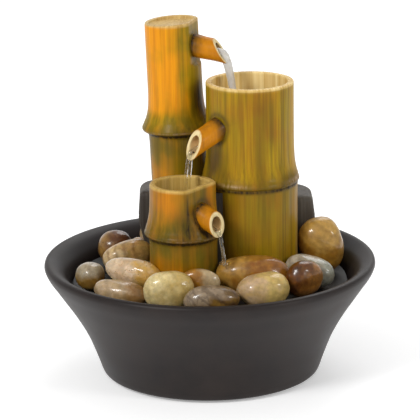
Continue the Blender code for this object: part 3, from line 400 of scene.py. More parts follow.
varied = add(scatter, "FunctionNodeRandomValue", {2: 0.55, 3: 1.25, "Seed": given["Seed"]},
             data_type="FLOAT")
squat = add(scatter, "ShaderNodeMath", {0: varied.outputs[1], 1: given["Flat"]}, operation="MULTIPLY")
shape = add(scatter, "ShaderNodeCombineXYZ",
            {0: varied.outputs[1], 1: varied.outputs[1], 2: squat.outputs[0]})
dots = add(scatter, "GeometryNodeInstanceOnPoints",
           {0: raised.outputs[0], "Instance": bead.outputs[0], "Rotation": spread.outputs["Rotation"],
            "Scale": shape.outputs[0]})
end_tree(scatter, dots.outputs[0], given)
print("scattered:", len(scatter.nodes), "nodes")

# %% [markdown]
# ## The canes
# Each cane is one ring grid that runs up inside its hollow foot, down round its bottom edge, up the outside,
# over the cut rim and down into its cup. The radius at any height comes from a few points: it swells
# softly above the node and steps back sharply under it, as bamboo does. Where a spout leaves, a flat is
# sliced off the side, which on a ring grid is simply a limit on how far a point may be from the axis.

# %% Cane sizes
def node_outline(radius, low_radius, ring_radius, ring_z, base_z, top_z):
    """Height and radius of a cane at the places where it changes."""
    rise = ring_radius - radius
    step = ring_radius - low_radius
    return [
        (base_z, low_radius), (ring_z - 26, low_radius), (ring_z - 7, low_radius + 0.05),
        (ring_z - 3.4, low_radius + 0.2 * step), (ring_z - 2.5, low_radius + 0.3 * step),
        (ring_z - 1.7, ring_radius - 1.1), (ring_z - 1.1, ring_radius - 0.35), (ring_z - 0.3, ring_radius),
        (ring_z + 0.8, ring_radius - 0.1), (ring_z + 1.5, ring_radius - 0.5),
        (ring_z + 3.4, radius + 0.74 * rise), (ring_z + 6, radius + 0.5 * rise),
        (ring_z + 12, radius + 0.17 * rise), (ring_z + 20, radius + 0.03 * rise),
        (ring_z + 30, radius), (top_z, radius),
    ]


# Lengths are in millimetres. A flat is its azimuth, how far out it is, its sill's height and the sill's slope.
CANES = {
    "cane_wide": dict(
        xy=(26.6, 7.2), lean=0.0, ring=125.0, top=187.5, wall=3.8, cup=149.0, hollow=(26.0, 118.0), flat=None,
        tilt=0.0, around=192, paint=wide_paint, outline=node_outline(27.8, 29.8, 31.0, 125.0, 7.35, 187.5),
    ),
    "cane_tall": dict(
        xy=(-17.9, 27.5), lean=2.2, ring=154.0, top=222.6, wall=2.8, cup=220.2, hollow=(12.0, 216.0),
        flat=(-19.0, 14.6, 196.0, 0.75), tilt=0.036, around=144, paint=tall_paint,
        outline=node_outline(17.3, 18.3, 22.4, 154.0, 58.0, 222.6),
    ),
    "cane_short": dict(
        xy=(-16.2, -28.0), lean=0.0, ring=100.0, top=131.0, wall=3.8, cup=108.0, hollow=(17.0, 90.0),
        flat=(-38.0, 15.0, 117.0, 2.2), tilt=0.0, around=160, paint=short_paint,
        outline=node_outline(20.7, 21.2, 24.4, 100.0, 7.35, 131.0),
    ),
}
CROWN_Z = 112.0  # the height about which the tall cane leans
SPOUT_R, BORE_R = 7.25, 4.4  # a spout's outside and its bore
SOCKET = 1.85  # how deep a spout's root sits in its cane

# A spout's root is off from its cane's axis towards side, at height z. Upper and lower are its lips' lengths.
SPOUTS = {
    "spout_tall": dict(cane="cane_tall", side=-19.0, azimuth=-14.0, pitch=10.5, off=14.6, z=207.3,
                       upper=11.3, lower=23.8),
    "spout_wide": dict(cane="cane_wide", side=-139.0, azimuth=-147.0, pitch=24.0, off=27.2, z=161.0,
                       upper=12.5, lower=27.0),
    "spout_short": dict(cane="cane_short", side=-40.0, azimuth=-40.0, pitch=21.0, off=15.0, z=113.5,
                        upper=9.2, lower=17.8),
}


def cane_place(size):
    x, y = size["xy"]
    lean = Matrix.Rotation(-math.radians(size["lean"]), 4, "Y")
    pivot = Vector((x, y, CROWN_Z)) * MM
    return Matrix.Translation(pivot) @ lean @ Matrix.Translation((0, 0, -CROWN_Z * MM))


def spout_place(size):
    """Its root on the cane's side. Local X is up, local Z runs out along the spout."""
    cane = CANES[size["cane"]]
    azimuth, pitch = math.radians(size["azimuth"]), math.radians(size["pitch"])
    axis = cane_place(cane) @ Vector((0, 0, size["z"] * MM))
    side_angle = math.radians(size["side"])
    outward = Vector((math.cos(side_angle), math.sin(side_angle), 0))
    root = Vector((axis.x, axis.y, size["z"] * MM)) + outward * size["off"] * MM
    out = Vector((math.cos(pitch) * math.cos(azimuth), math.cos(pitch) * math.sin(azimuth), -math.sin(pitch)))
    side = Vector((-math.sin(azimuth), math.cos(azimuth), 0))
    up = side.cross(out)
    if up.z < 0:
        up.negate()
    turn = Matrix((up, out.cross(up), out)).transposed().to_4x4()
    return Matrix.Translation(root) @ turn


for name, size in CANES.items():
    print(name, "stands at", size["xy"], "and is", size["top"], "mm high")

# %% Cane meshes
def outer_radius(size, angle, height, curve):
    """How far the cane's outside is from its axis, in millimetres, at angles and one height."""
    radius = np.full_like(angle, np.interp(height, curve[:, 0], curve[:, 1]))
    for depth, count, run in ((0.35, 1.6, 60), (0.16, 9, 90)):  # a slow wobble, and shallow flutes
        points = [Vector((count * math.cos(a), count * math.sin(a), height / run + size["top"])) for a in angle]
        radius = radius + depth * np.array([noise.noise(point) for point in points])
    if size["flat"]:
        azimuth, off, sill, slope = size["flat"]
        facing = np.cos(angle - math.radians(azimuth))
        limit = np.where(facing > 0.2, (off + max(0.0, sill - height) / slope) / np.maximum(facing, 0.2), 1e3)
        radius = -np.logaddexp(-radius * 6, -limit * 6) / 6
    return radius


def cup_radius(size, angle):
    """How far the cup's wall is from the cane's axis, in millimetres, at each angle."""
    inside = np.full_like(angle, size["outline"][-1][1] - size["wall"])
    if size["flat"]:
        facing = np.cos(angle - math.radians(size["flat"][0]))
        limit = np.where(facing > 0.2, (size["flat"][1] - 0.8 * size["wall"]) / np.maximum(facing, 0.2), 1e3)
        inside = -np.logaddexp(-inside * 4, -limit * 4) / 4
    return inside


def cane_mesh(name, size):
    count = size["around"]
    angle = np.linspace(0, math.tau, count, endpoint=False)
    curve = np.array([tuple(p)[:2] for p in smooth_curve([(z, r, 0) for z, r in size["outline"]], 10)])
    base, top = size["outline"][0][0], size["top"]
    hollow_radius, hollow_top = size["hollow"]
    rings, marks = [], []

    def lay(radius, heights, kind):
        radius = np.broadcast_to(np.asarray(radius, float), angle.shape)
        heights = np.broadcast_to(np.asarray(heights, float), angle.shape)
        x, y = radius * np.cos(angle), radius * np.sin(angle)
        lift = step_up(top - 30, top, heights) * size["tilt"] * x
        rings.append(np.stack([x, y, heights + lift], 1))
        marks.append(kind)

    for share in (0.25, 0.6, 1.0):
        lay(hollow_radius * share, hollow_top, "hollow")
    for height in np.linspace(hollow_top - 3, base + 1, 8):
        lay(hollow_radius, height, "hollow")
    lay(hollow_radius + 0.6, base, "hollow")
    lay(outer_radius(size, angle, base, curve) - 0.6, base, "foot")
    ring_z = size["ring"]
    levels = list(np.arange(base + 0.8, ring_z - 12, 3.0)) + list(np.arange(ring_z - 12, ring_z + 10, 0.4))
    levels += list(np.arange(ring_z + 10, top - 1.2, 1.1))
    for height in levels:
        lay(outer_radius(size, angle, height, curve), height, "side")
    lip = outer_radius(size, angle, top, curve)
    for drop, inset in ((0.9, 0.0), (0.45, 0.12), (0.15, 0.35), (0.0, 0.75)):
        lay(lip - inset, top - drop, "side" if drop > 0.4 else "rim")
    inside = cup_radius(size, angle)
    lay(inside * 0.5 + lip * 0.5, top + 0.05, "rim")
    for drop, inset in ((0.0, 0.5), (0.2, 0.2), (0.45, 0.0)):
        lay(inside + inset, top - drop, "rim")
    cup = size["cup"]
    deep = min(1.0, (top - cup) / 6)
    for height in np.linspace(top - 1.6 * deep, cup + 2.0 * deep, max(4, int((top - cup) / 1.5))):
        lay(inside, height, "cup")
    for share, rise in ((0.97, 1.1 * deep), (0.9, 0.4 * deep), (0.75, 0.0), (0.4, 0.0), (0.15, 0.0)):
        lay(inside * share, cup + rise, "cup")
    stacked = [[Vector(p) * MM for p in ring] for ring in rings]
    vertices, faces = ring_grid(stacked)
    place = cane_place(size)
    vertices = [place @ v for v in vertices]
    piece = mesh_piece(name, vertices, faces, size["paint"])
    kinds = [kind for kind in marks for _ in range(count)] + ["hollow", "cup"]
    turns = np.append(np.tile(angle, len(rings)), [0.0, 0.0])
    heights = np.append(np.concatenate([r[:, 2] for r in rings]), [hollow_top, cup])
    return piece, np.array(kinds), turns, heights


def near_spout(vertices, name):
    """How far each vertex is from a spout's axis, in millimetres, and how far out along it."""
    back = spout_place(SPOUTS[name]).inverted()
    local = np.array([tuple(back @ Vector(v)) for v in vertices]) / MM
    return np.hypot(local[:, 0], local[:, 1]), local


def facing_towards(turns, azimuth, width):
    """1 at an angle round the cane, falling to 0 at a width to either side."""
    apart = np.abs((np.degrees(turns) - azimuth + 180) % 360 - 180)
    return 1 - step_up(0, width, apart)


def node_wash_and_shade(heights, ring_z, above, below):
    """Dark paint washed into the node and painted shade: deepest in the step under the node, thinning above and
    below it.
    """
    step = np.exp(-(((heights - (ring_z - 2.6)) / 1.1) ** 2))
    under = np.where(heights < ring_z - 1.5, np.exp((heights - ring_z) / below), 0)
    over = np.where(heights >= ring_z - 1.5, np.exp(-np.abs(heights - ring_z) / above), 0)
    return 0.5 * step + 0.62 * under + 0.45 * over


def patch(turns, heights, azimuth, width, low, high, soft=8.0):
    """1 in a soft-edged patch round the cane and between two heights."""
    tall = step_up(low - soft, low + soft, heights) * (1 - step_up(high - soft, high + soft, heights))
    return facing_towards(turns, azimuth, width) * tall


def line_at(heights, level, width):
    return np.exp(-(((heights - level) / width) ** 2))


def tall_colours(turns, heights):
    """Orange on the left, olive round to the right, painted shade up the right and under the node, and a thin
    painted highlight on the ring.
    """
    amber = 0.05 + 1.0 * facing_towards(turns, -132, 88) * step_up(160, 170, heights)
    amber += 0.3 * patch(turns, heights, -100, 40, 175, 205)
    amber += 0.6 * patch(turns, heights, -135, 60, 108, 132)
    dark = node_wash_and_shade(heights, 154, 5.5, 15.0)
    # Painted shade up the right side above the node, with some dark antiquing.
    dark += 0.75 * patch(turns, heights, -34, 34, 162, 184) + 0.25 * patch(turns, heights, -70, 45, 152, 166)
    # Painted shade under the node, heavier on the right.
    dark += (0.2 + 0.3 * facing_towards(turns, -30, 60)) * step_up(152, 142, heights)
    # A thin painted highlight along the ring's lower edge.
    dry_brush_highlight = 0.4 * line_at(heights, 153.6, 0.6) * facing_towards(turns, -90, 80)
    return amber, dark, dry_brush_highlight


def wide_colours(turns, heights):
    """Olive with brown strokes, painted shade low down and down the left side, and a mauve painted highlight
    along the node.
    """
    amber = 0.35 + 0.35 * facing_towards(turns, -75, 45) * step_up(150, 160, heights)
    # Painted shade about the node and low down below it.
    dark = node_wash_and_shade(heights, 125, 3.6, 5.0) + 0.16 * step_up(124, 112, heights)
    # Painted shade down the left, beside the short cane and under the spout.
    dark += 0.75 * patch(turns, heights, -148, 52, 62, 116) + 0.45 * patch(turns, heights, -140, 34, 130, 150)
    # Brown strokes down the front.
    dark += 0.35 * patch(turns, heights, -78, 15, 128, 182) + 0.4 * patch(turns, heights, -62, 9, 150, 182)
    # Painted shade at the node on the right.
    dark += 0.4 * patch(turns, heights, -30, 45, 124, 132, 3.0)
    # Painted highlight along the ring and down the right below it, laid on like a dry brush.
    brushed = 0.6 * facing_towards(turns, -112, 32) + 0.8 * facing_towards(turns, -20, 34)
    dry_brush_highlight = 0.95 * line_at(heights, 126.2, 1.4) * brushed
    dry_brush_highlight += 0.5 * facing_towards(turns, -8, 16) * step_up(126, 120, heights)
    return amber, dark, dry_brush_highlight


def short_colours(turns, heights):
    """Orange at the upper left and at the foot, olive about the node and on the flat, painted shade under the
    node and along the flat's edge, and a thin painted highlight on the ring.
    """
    amber = 0.2 + 0.75 * patch(turns, heights, -125, 62, 113, 150)
    amber += 0.7 * patch(turns, heights, -115, 75, 50, 84) + 0.5 * patch(turns, heights, -12, 30, 112, 140)
    # Painted shade about the node, and darker olive above it at the front.
    dark = node_wash_and_shade(heights, 100, 5.5, 7.0) + 0.5 * patch(turns, heights, -80, 50, 100, 117)
    # Painted shade below the node on the right.
    dark += 0.45 * facing_towards(turns, -20, 55) * step_up(98, 84, heights)
    # Painted shade in the crease along the flat's left edge.
    dark += 0.5 * patch(turns, heights, -82, 5, 108, 128, 4.0)
    # A thin painted highlight along the ring's lower edge.
    dry_brush_highlight = 0.45 * line_at(heights, 99.4, 0.5) * facing_towards(turns, -85, 80)
    return amber, dark, dry_brush_highlight


COLOURS = {"cane_tall": tall_colours, "cane_wide": wide_colours, "cane_short": short_colours}
canes = {}
for name, size in CANES.items():
    piece, kinds, turns, heights = cane_mesh(name, size)
    spout = name.replace("cane", "spout")
    distance, local = near_spout([v.co for v in piece.data.vertices], spout)
    amber, dark, dry_brush_highlight = COLOURS[name](turns, heights)
    side = kinds == "side"
    # Painted shade in the crease round each spout's root and on the cane just above the spout.
    round_spout = np.exp(-(((distance - 8.4) / 1.6) ** 2)) * (local[:, 2] > -8)
    shade_above_spout = np.exp(-(((distance - 10.5) / 3.2) ** 2)) * (local[:, 2] > -8) * (local[:, 0] > 2)
    dark = np.where(side, dark + 0.55 * round_spout + 0.12 * shade_above_spout, 0)
    # Painted shade inside the hollow foot, and down each cup but the tall one's.
    dark = np.where(kinds == "hollow", 0.5, dark)
    cup_shade = 0.35 * step_up(size["top"] - 6, size["cup"] + 2, heights) * (name != "cane_tall")
    dark = np.where(kinds == "cup", cup_shade, dark)
    cut = np.where((kinds == "rim") | (kinds == "cup"), 1.0, 0.0)
    cut = np.where(side, 0.75 * step_up(size["top"] - 2.2, size["top"] - 0.6, heights), cut)
    paint_points(piece, np.stack([amber, dark, cut, np.where(side, dry_brush_highlight, 0)], 1))
    reach = spout_place(SPOUTS[spout])
    inner, outer = ((reach @ Vector((0, 0, along_bore * MM))) / MM for along_bore in (-12, 9))
    tools = [cutter_rod(inner, outer, BORE_R - 0.05)]
    if name != "cane_short":
        tools.append(cutter_box((-60, 19, 0), (80, 70, CROWN_Z - 4.5)))
    if name == "cane_tall":
        tools.append(cutter_box((-9, 0, 0), (10, 40, CROWN_Z - 4.5)))
    combined(piece, tools)
    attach(piece, "tower")
    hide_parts(name)
    canes[name] = piece
    print(name, len(piece.data.polygons), "faces")

# %% [markdown]
# ## Fibre ends on the sawn rims
# Where bamboo is sawn, its fibre bundles show as small brown dots in the pale wood. They are scattered over
# the rim's upward faces with a least distance between them, as real bundles keep apart, and the seed is
# fixed so that they fall in the same places each time.

# %% Fibre ends
def fibre_finish():
    """Dried fibre in painted resin: matt and brown, so the rim reads as sawn wood."""
    material, tree, shader = finish("stained_fibre_ends", Roughness=0.7)
    place = add(tree, "ShaderNodeTexCoord").outputs["Object"]
    tone = add(tree, "ShaderNodeTexNoise", {0: place, "Scale": 1 / (2.5 * MM)})
    mixed = blend_of(tree, tone.outputs[0], "#8c6530", "#c29c5c")
    tree.links.new(mixed, shader.inputs["Base Color"])
    return material


fibres = fibre_finish()
for index, (name, piece) in enumerate(canes.items()):
    rim = (CANES[name]["top"] - 2.4) * MM
    ends = grow("fibre_ends_" + name[5:], piece.data.copy(), scatter, Above=rim, Seed=index + 3, Dot=0.24 * MM,
                Apart=0.75 * MM, Density=9e5, Flat=0.35, Finish=fibres)
    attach(ends, "tower")

# %% [markdown]
# ## The spouts
# A spout is a short bamboo tube cut on the slant, longest at its lower lip so that the water runs off cleanly.
# It could be a cylinder cut by a plane, but then the lip's edge would be knife sharp. On a ring grid the
# slant is a shear of the last rings, and the edge can be rounded as the wood would wear.

# %% Spout meshes
def spout_mesh(name, size):
    around = 96
    angle = np.linspace(0, math.tau, around, endpoint=False)
    middle = (size["upper"] + size["lower"]) / 2
    slope = (size["lower"] - size["upper"]) / (2 * SPOUT_R)
    rings, marks = [], []

    def lay(radius, share, back, kind):
        x, y = radius * np.cos(angle), radius * np.sin(angle)
        end = middle - slope * x - back
        rings.append(np.stack([x, y, -SOCKET + (end + SOCKET) * share], 1))
        marks.append(kind)

    for share in np.linspace(0, 1, 26):
        taper = SPOUT_R - 0.25 * share + 0.12 * math.sin(7 * share)
        lay(taper, share, 0.55, "outside")
    lay(SPOUT_R - 0.42, 1, 0.18, "edge")
    lay(SPOUT_R - 0.75, 1, 0.0, "cut")
    lay(SPOUT_R - 1.5, 1, 0.0, "cut")
    lay(BORE_R + 0.5, 1, 0.05, "cut")
    lay(BORE_R + 0.12, 1, 0.35, "cut")
    for share in np.linspace(0.96, 0, 18):
        lay(BORE_R, share, 0.8, "bore")
    vertices, faces = looped_grid([[Vector(p) * MM for p in ring] for ring in rings])
    place = spout_place(size)
    piece = mesh_piece(name, [place @ v for v in vertices], faces, spout_paint)
    flat = np.concatenate(rings)
    kinds = np.array([kind for kind in marks for _ in range(around)])
    out = flat[:, 2]
    amber = 0.35 + 0.65 * step_up(0, 8, out)
    # Painted shade: the outside darkens towards the root, in the crease against the cane, and the bore darkens
    # deeper in.
    root = np.exp(-np.maximum(out, 0) / 2.2)
    dark = np.where(kinds == "outside", 0.2 + 0.6 * root, 0)
    dark = np.where(kinds == "bore", 0.1 + 0.6 * step_up(14, 2, out), dark)
    cut = 1.0 * (kinds == "cut") + 0.75 * (kinds == "edge") + 0.55 * (kinds == "bore")
    paint_points(piece, np.stack([amber, dark * (1 - 0.4 * cut), cut], 1))
    return piece


for name, size in SPOUTS.items():
    piece = spout_mesh(name, size)
    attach(piece, "tower")
    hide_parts(name)
    print(name, "points", size["pitch"], "degrees down")

# %% [markdown]
# ## The bowl
# The bowl is cast in resin and stained a dark brown that is nearly black, with the low sheen of eggshell.
# It is a turned shape, so its profile is drawn once and spun. More points are put on the profile by a
# smooth curve, with the corners at the ledge kept by starting a new curve there.

# %% Bowl finish and mesh
def bowl_finish():
    material, tree, shader = finish("stained_cast_resin", Roughness=0.46, IOR=1.5)
    shader.inputs["Specular IOR Level"].default_value = 0.25
    place = add(tree, "ShaderNodeTexCoord").outputs["Object"]
    clouds = add(tree, "ShaderNodeTexNoise",
                 {0: place, "Scale": 1 / (22 * MM), "Detail": 4.0, "Roughness": 0.6})
    grit = add(tree, "ShaderNodeTexNoise", {0: place, "Scale": 1 / (0.7 * MM), "Detail": 2.0})
    tone = add(tree, "ShaderNodeValToRGB", {0: clouds.outputs[0]}, stops=[(0.3, "#1a1413"), (0.7, "#261e1b")])
    tree.links.new(tone.outputs[0], shader.inputs["Base Color"])
    relief = add(tree, "ShaderNodeBump", {"Height": grit.outputs[0], "Distance": 0.06 * MM, "Strength": 0.5})
    tree.links.new(relief.outputs[0], shader.inputs["Normal"])
    rough = add(tree, "ShaderNodeMapRange", {0: clouds.outputs[0], 3: 0.38, 4: 0.54})
    tree.links.new(rough.outputs[0], shader.inputs["Roughness"])
    return material


BOWL_RUNS = (
    ((0, 1.2), (30, 1.2), (65.4, 1.2)),
    ((65.4, 1.2), (68.8, 2.3), (70.4, 5.2), (71.7, 9), (74.6, 17), (78.2, 26), (82.8, 35), (88.2, 44),
     (93.6, 52), (99, 60), (102.9, 65.6), (105.0, 69.8), (105.3, 71.8), (104.6, 73.6), (102.6, 74.4),
     (99.8, 73.6), (96.2, 71.2), (92.6, 67.2), (90, 62.5), (88.2, 57)),
    ((88.2, 57), (85, 57), (82.6, 57)),
    ((82.6, 57), (81.2, 52.5), (75.4, 38), (70.5, 26), (66.8, 15), (64.8, 10), (61, 7)),
    ((61, 7), (30, 7), (0, 7)),
)
bowl_profile = []
for run in BOWL_RUNS:
    bowl_profile += smooth_curve([(r, 0, z) for r, z in run], 4)[:-1]
AROUND = 200
bowl_rings = []
for point in bowl_profile[1:]:
    turns = [math.tau * n / AROUND for n in range(AROUND)]
    bowl_rings.append([Vector((point.x * math.cos(a), point.x * math.sin(a), point.z)) * MM for a in turns])
vertices, faces = ring_grid(bowl_rings)
bowl = mesh_piece("bowl_shell", vertices, faces, bowl_finish(), sharp=45)
GROMMET_Z, FEET_OUT = 63, 50
tools = [cutter_rod((0, 80, GROMMET_Z), (0, 110, GROMMET_Z), 5.2),
         cutter_rod((0, 97, GROMMET_Z), (0, 112, GROMMET_Z), 7)]
for n in range(4):
    turn = math.radians(45 + 90 * n)
    x, y = FEET_OUT * math.cos(turn), FEET_OUT * math.sin(turn)
    tools.append(cutter_rod((x, y, -2), (x, y, 3.2), 9.35))
combined(bowl, tools)
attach(bowl, "bowl")
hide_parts("bowl")
print("bowl", len(bowl.data.polygons), "faces")

# %% [markdown]
# ## River stones
# No two pebbles match, but they are made in one way: quartz, chert or jasper, tumbled until it shines and wet
# here. The solid already has each stone's size and lie, so its mesh is merged, made blunter, subdivided until
# it is smooth and pushed about by soft noise. The finish is one recipe: two colours in clouds, a third that
# takes over towards one end, faint strata, fine veins and specks, some light let in, and a wet coat.

# %% Stone finish
def stone_finish(name, ground, second, vein, tip, turn, band, banding, veining, blotch, specks):
    """Tumbled stone, wet: clear gloss over soft, slightly translucent colour. Sizes are in millimetres."""
    material, tree, shader = finish(name, Roughness=0.3, IOR=1.54, Coat_Weight=0.45, Coat_Roughness=0.05)
    shader.inputs["Specular IOR Level"].default_value = 0.3
    shader.inputs["Subsurface Weight"].default_value = 0.18
    shader.inputs["Subsurface Scale"].default_value = 3.0 * MM
    shader.inputs["Subsurface Radius"].default_value = (1.0, 0.6, 0.3)
    place = add(tree, "ShaderNodeTexCoord").outputs["Object"]
    laid = add(tree, "ShaderNodeMapping", {0: place, "Rotation": turn, "Scale": (1 / MM,) * 3}).outputs[0]
    clouds = add(tree, "ShaderNodeTexNoise", {0: laid, "Scale": 1 / blotch, "Detail": 4.0, "Distortion": 0.8})
    mottle = add(tree, "ShaderNodeTexNoise", {0: laid, "Scale": 1 / 2.6, "Detail": 3.0})
    warped = add(tree, "ShaderNodeTexNoise", {0: laid, "Scale": 1 / 8.0, "Detail": 3.0})
    strata = add(tree, "ShaderNodeTexWave",
                 {0: laid, "Scale": 0.314 / band, "Distortion": 9.0, "Detail": 3.0, "Detail Scale": 0.7})
    grains = add(tree, "ShaderNodeTexNoise", {0: laid, "Scale": 1 / 1.3, "Detail": 1.0})
    mix_a = add(tree, "ShaderNodeMapRange", {0: clouds.outputs[0], 1: 0.36, 2: 0.64})
    body = blend_of(tree, mix_a.outputs[0], ground, second)
    end = add(tree, "ShaderNodeAttribute", attribute_name="tip")
    uneven = add(tree, "ShaderNodeMath", {0: warped.outputs[0], 1: 0.9, 2: -0.45}, operation="MULTIPLY_ADD")
    reach = add(tree, "ShaderNodeMath", {0: end.outputs["Fac"], 1: uneven.outputs[0]}, operation="ADD")
    ended = add(tree, "ShaderNodeMapRange", {0: reach.outputs[0], 1: 0.42, 2: 0.72})
    tipped = blend_of(tree, ended.outputs[0], body, tip)
    lines = add(tree, "ShaderNodeMapRange", {0: strata.outputs[0], 1: 0.55, 2: 1.0, 4: banding})
    banded = blend_of(tree, lines.outputs[0], tipped, vein)
    ridge = add(tree, "ShaderNodeMath", {0: warped.outputs[0], 1: 0.5}, operation="SUBTRACT")
    thin = add(tree, "ShaderNodeMath", {0: ridge.outputs[0]}, operation="ABSOLUTE")
    veins = add(tree, "ShaderNodeMapRange", {0: thin.outputs[0], 1: 0.0, 2: 0.03, 3: veining, 4: 0.0})
    veined = blend_of(tree, veins.outputs[0], banded, vein)
    spots = add(tree, "ShaderNodeMapRange", {0: grains.outputs[0], 1: 0.66, 2: 0.74, 4: specks})
    spotted = blend_of(tree, spots.outputs[0], veined, "#4a2a12")
    shade = add(tree, "ShaderNodeMapRange", {0: mottle.outputs[0], 1: 0.3, 2: 0.7, 3: 0.8, 4: 1.13})
    speckled = add(tree, "ShaderNodeVectorMath", {0: spotted, 1: shade.outputs[0]}, operation="MULTIPLY")
    tree.links.new(speckled.outputs[0], shader.inputs["Base Color"])
    pits = add(tree, "ShaderNodeBump", {"Height": mottle.outputs[0], "Distance": 0.14 * MM, "Strength": 0.4})
    tree.links.new(pits.outputs[0], shader.inputs["Normal"])
    return material


# name, ground, second, vein, tip, turn, band, banding, veining, blotch, specks, and the way its tip points
STONE_LOOKS = (
    ("cream_quartz", "#ccb173", "#b2954e", "#a98a3a", "#dcc790",
     (0.3, 0.2, 0.9), 12, 0.25, 0.25, 12, 0.1, (-1, 0, 0.5)),
    ("rose_quartz", "#c8a987", "#bd9d62", "#9c7c48", "#cdb067",
     (0.2, 0.5, 0.2), 11, 0.25, 0.2, 13, 0.1, (1, 0, 0.2)),
    ("grey_beige_chert", "#c3a987", "#ab8e60", "#7a6038", "#8e683a",
     (0.9, 0.1, 0.4), 9, 0.3, 0.3, 9, 0.3, (1, 0, -0.4)),
    ("white_quartz", "#dcc3a4", "#cbb08c", "#a97c44", "#bf9546",
     (0.0, 0.2, 1.2), 16, 0.25, 0.4, 15, 0.8, (1, 0, -0.3)),
    ("tan_chert", "#98732e", "#7d5a26", "#5d421f", "#a6977c",
     (0.5, 0.0, 0.3), 8, 0.25, 0.2, 9, 0.3, (-0.1, 0, 1)),
    ("banded_jasper", "#bb9058", "#a38444", "#7c5628", "#d6b887",
     (0.1, 0.5, 0.4), 5, 0.5, 0.35, 10, 0.3, (-1, 0, -0.5)),
    ("dark_red_jasper", "#6a3c14", "#4c280e", "#341b0a", "#967038",
     (0.7, 0.3, 0.0), 7, 0.3, 0.3, 8, 0.8, (-1, 0, -0.1)),
    ("grey_brown_jasper", "#7d5d26", "#5e432a", "#3e2b18", "#958168",
     (0.2, 1.1, 0.3), 5, 0.45, 0.4, 8, 0.4, (-0.6, 0, 1)),
    ("wet_brown_jasper", "#99651c", "#864f12", "#5c360e", "#ab8038",
     (0.4, 0.2, 0.1), 9, 0.25, 0.2, 14, 0.3, (-1, 0, 0.2)),
    ("pale_grey_quartz", "#b5a994", "#978b77", "#7b6f5c", "#8f8e7e",
     (0.3, 0.8, 0.5), 10, 0.3, 0.3, 12, 0.2, (1, 0, -0.2)),
    ("red_brown_jasper", "#6f3f14", "#523012", "#361e0b", "#99662a",
     (0.6, 0.2, 0.9), 8, 0.3, 0.3, 8, 0.5, (1, 0, -0.6)),
    ("ochre_jasper", "#9d7126", "#84581a", "#6a4414", "#b38c44",
     (0.5, 0.9, 0.2), 10, 0.25, 0.15, 15, 0.2, (0.4, 0, 1)),
    ("yellow_chert", "#ab7626", "#8d5c1c", "#6b4416", "#b39c76",
     (0.1, 0.2, 0.6), 8, 0.3, 0.2, 10, 0.2, (1, 0, 0)),
)
stone_finishes = [stone_finish(*look[:5], *look[5:11]) for look in STONE_LOOKS]
print(len(stone_finishes), "kinds of stone")

# %% Stone meshes
SMOOTHING = 3
BLUNT = 2.35  # 2 is an ellipsoid, and more is squarer
PLUMP = 1.045  # makes up for what subdivision takes off
stone_names = sorted(name for name in nodes if name.startswith("stone_") and name != "stone_tray")


def pebble_mesh(solid, seed, points):
    """The solid's mesh, merged, made blunter along its own three axes, rounded and softly dented."""
    mesh = solid.data.copy()
    work = bmesh.new()
    work.from_mesh(mesh)
    bmesh.ops.remove_doubles(work, verts=work.verts, dist=1e-6)
    places = np.array([tuple(v.co) for v in work.verts])
    middle = (places.min(0) + places.max(0)) / 2
    away = places - middle
    axes = np.linalg.svd(away, full_matrices=False)[2]
    local = np.abs(away @ axes.T)
    local /= local.max(0)
    plump = PLUMP * np.sum(local ** 2, 1) ** 0.5 / np.sum(local ** BLUNT, 1) ** (1 / BLUNT)
    for v, place, grown in zip(work.verts, away, plump):
        v.co = Vector(middle + place * grown)
    work.to_mesh(mesh)
    work.free()
    pebble = linked("pebble_" + solid.name[-2:], mesh)
    rounder = pebble.modifiers.new("round", "SUBSURF")
    rounder.levels = rounder.render_levels = SMOOTHING
    baked(pebble)
    middle = Vector(middle)
    tips = pebble.data.attributes.new("tip", "FLOAT", "POINT")
    ahead = Vector(points).normalized()
    reach = max(abs((v.co - middle).dot(ahead)) for v in pebble.data.vertices)
    for v in pebble.data.vertices:
        out = (v.co - middle).normalized()
        tips.data[v.index].value = 0.5 + 0.5 * (v.co - middle).dot(ahead) / reach
        soft = noise.noise(v.co * 62 + Vector((seed * 3.1, 0, 0)))
        dent = noise.noise(v.co * 170 + Vector((0, seed * 1.7, 0)))
        v.co += out * (0.95 * soft + 0.2 * dent) * MM
    return pebble


pebbles = {}
for index, name in enumerate(stone_names):
    look = index % len(STONE_LOOKS)
    pebble = pebble_mesh(nodes[name], index, STONE_LOOKS[look][11])
    pebble.data.materials.clear()
    pebble.data.materials.append(stone_finishes[look])
    pebble.data.shade_smooth()
    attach(pebble, "bowl")
    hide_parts(name)
    pebbles[name] = pebble
print(len(stone_names), "pebbles")

# %% [markdown]
# ## The housing behind the canes
# A slate-coloured resin box hides the pump's hose and carries the canes. It was carved before it was cast,
# so its sides have shallow upright flutes and its corners are soft. Like the canes it is one run of
# rings, up the inside and down again outside, and the canes' places are cut out of it.

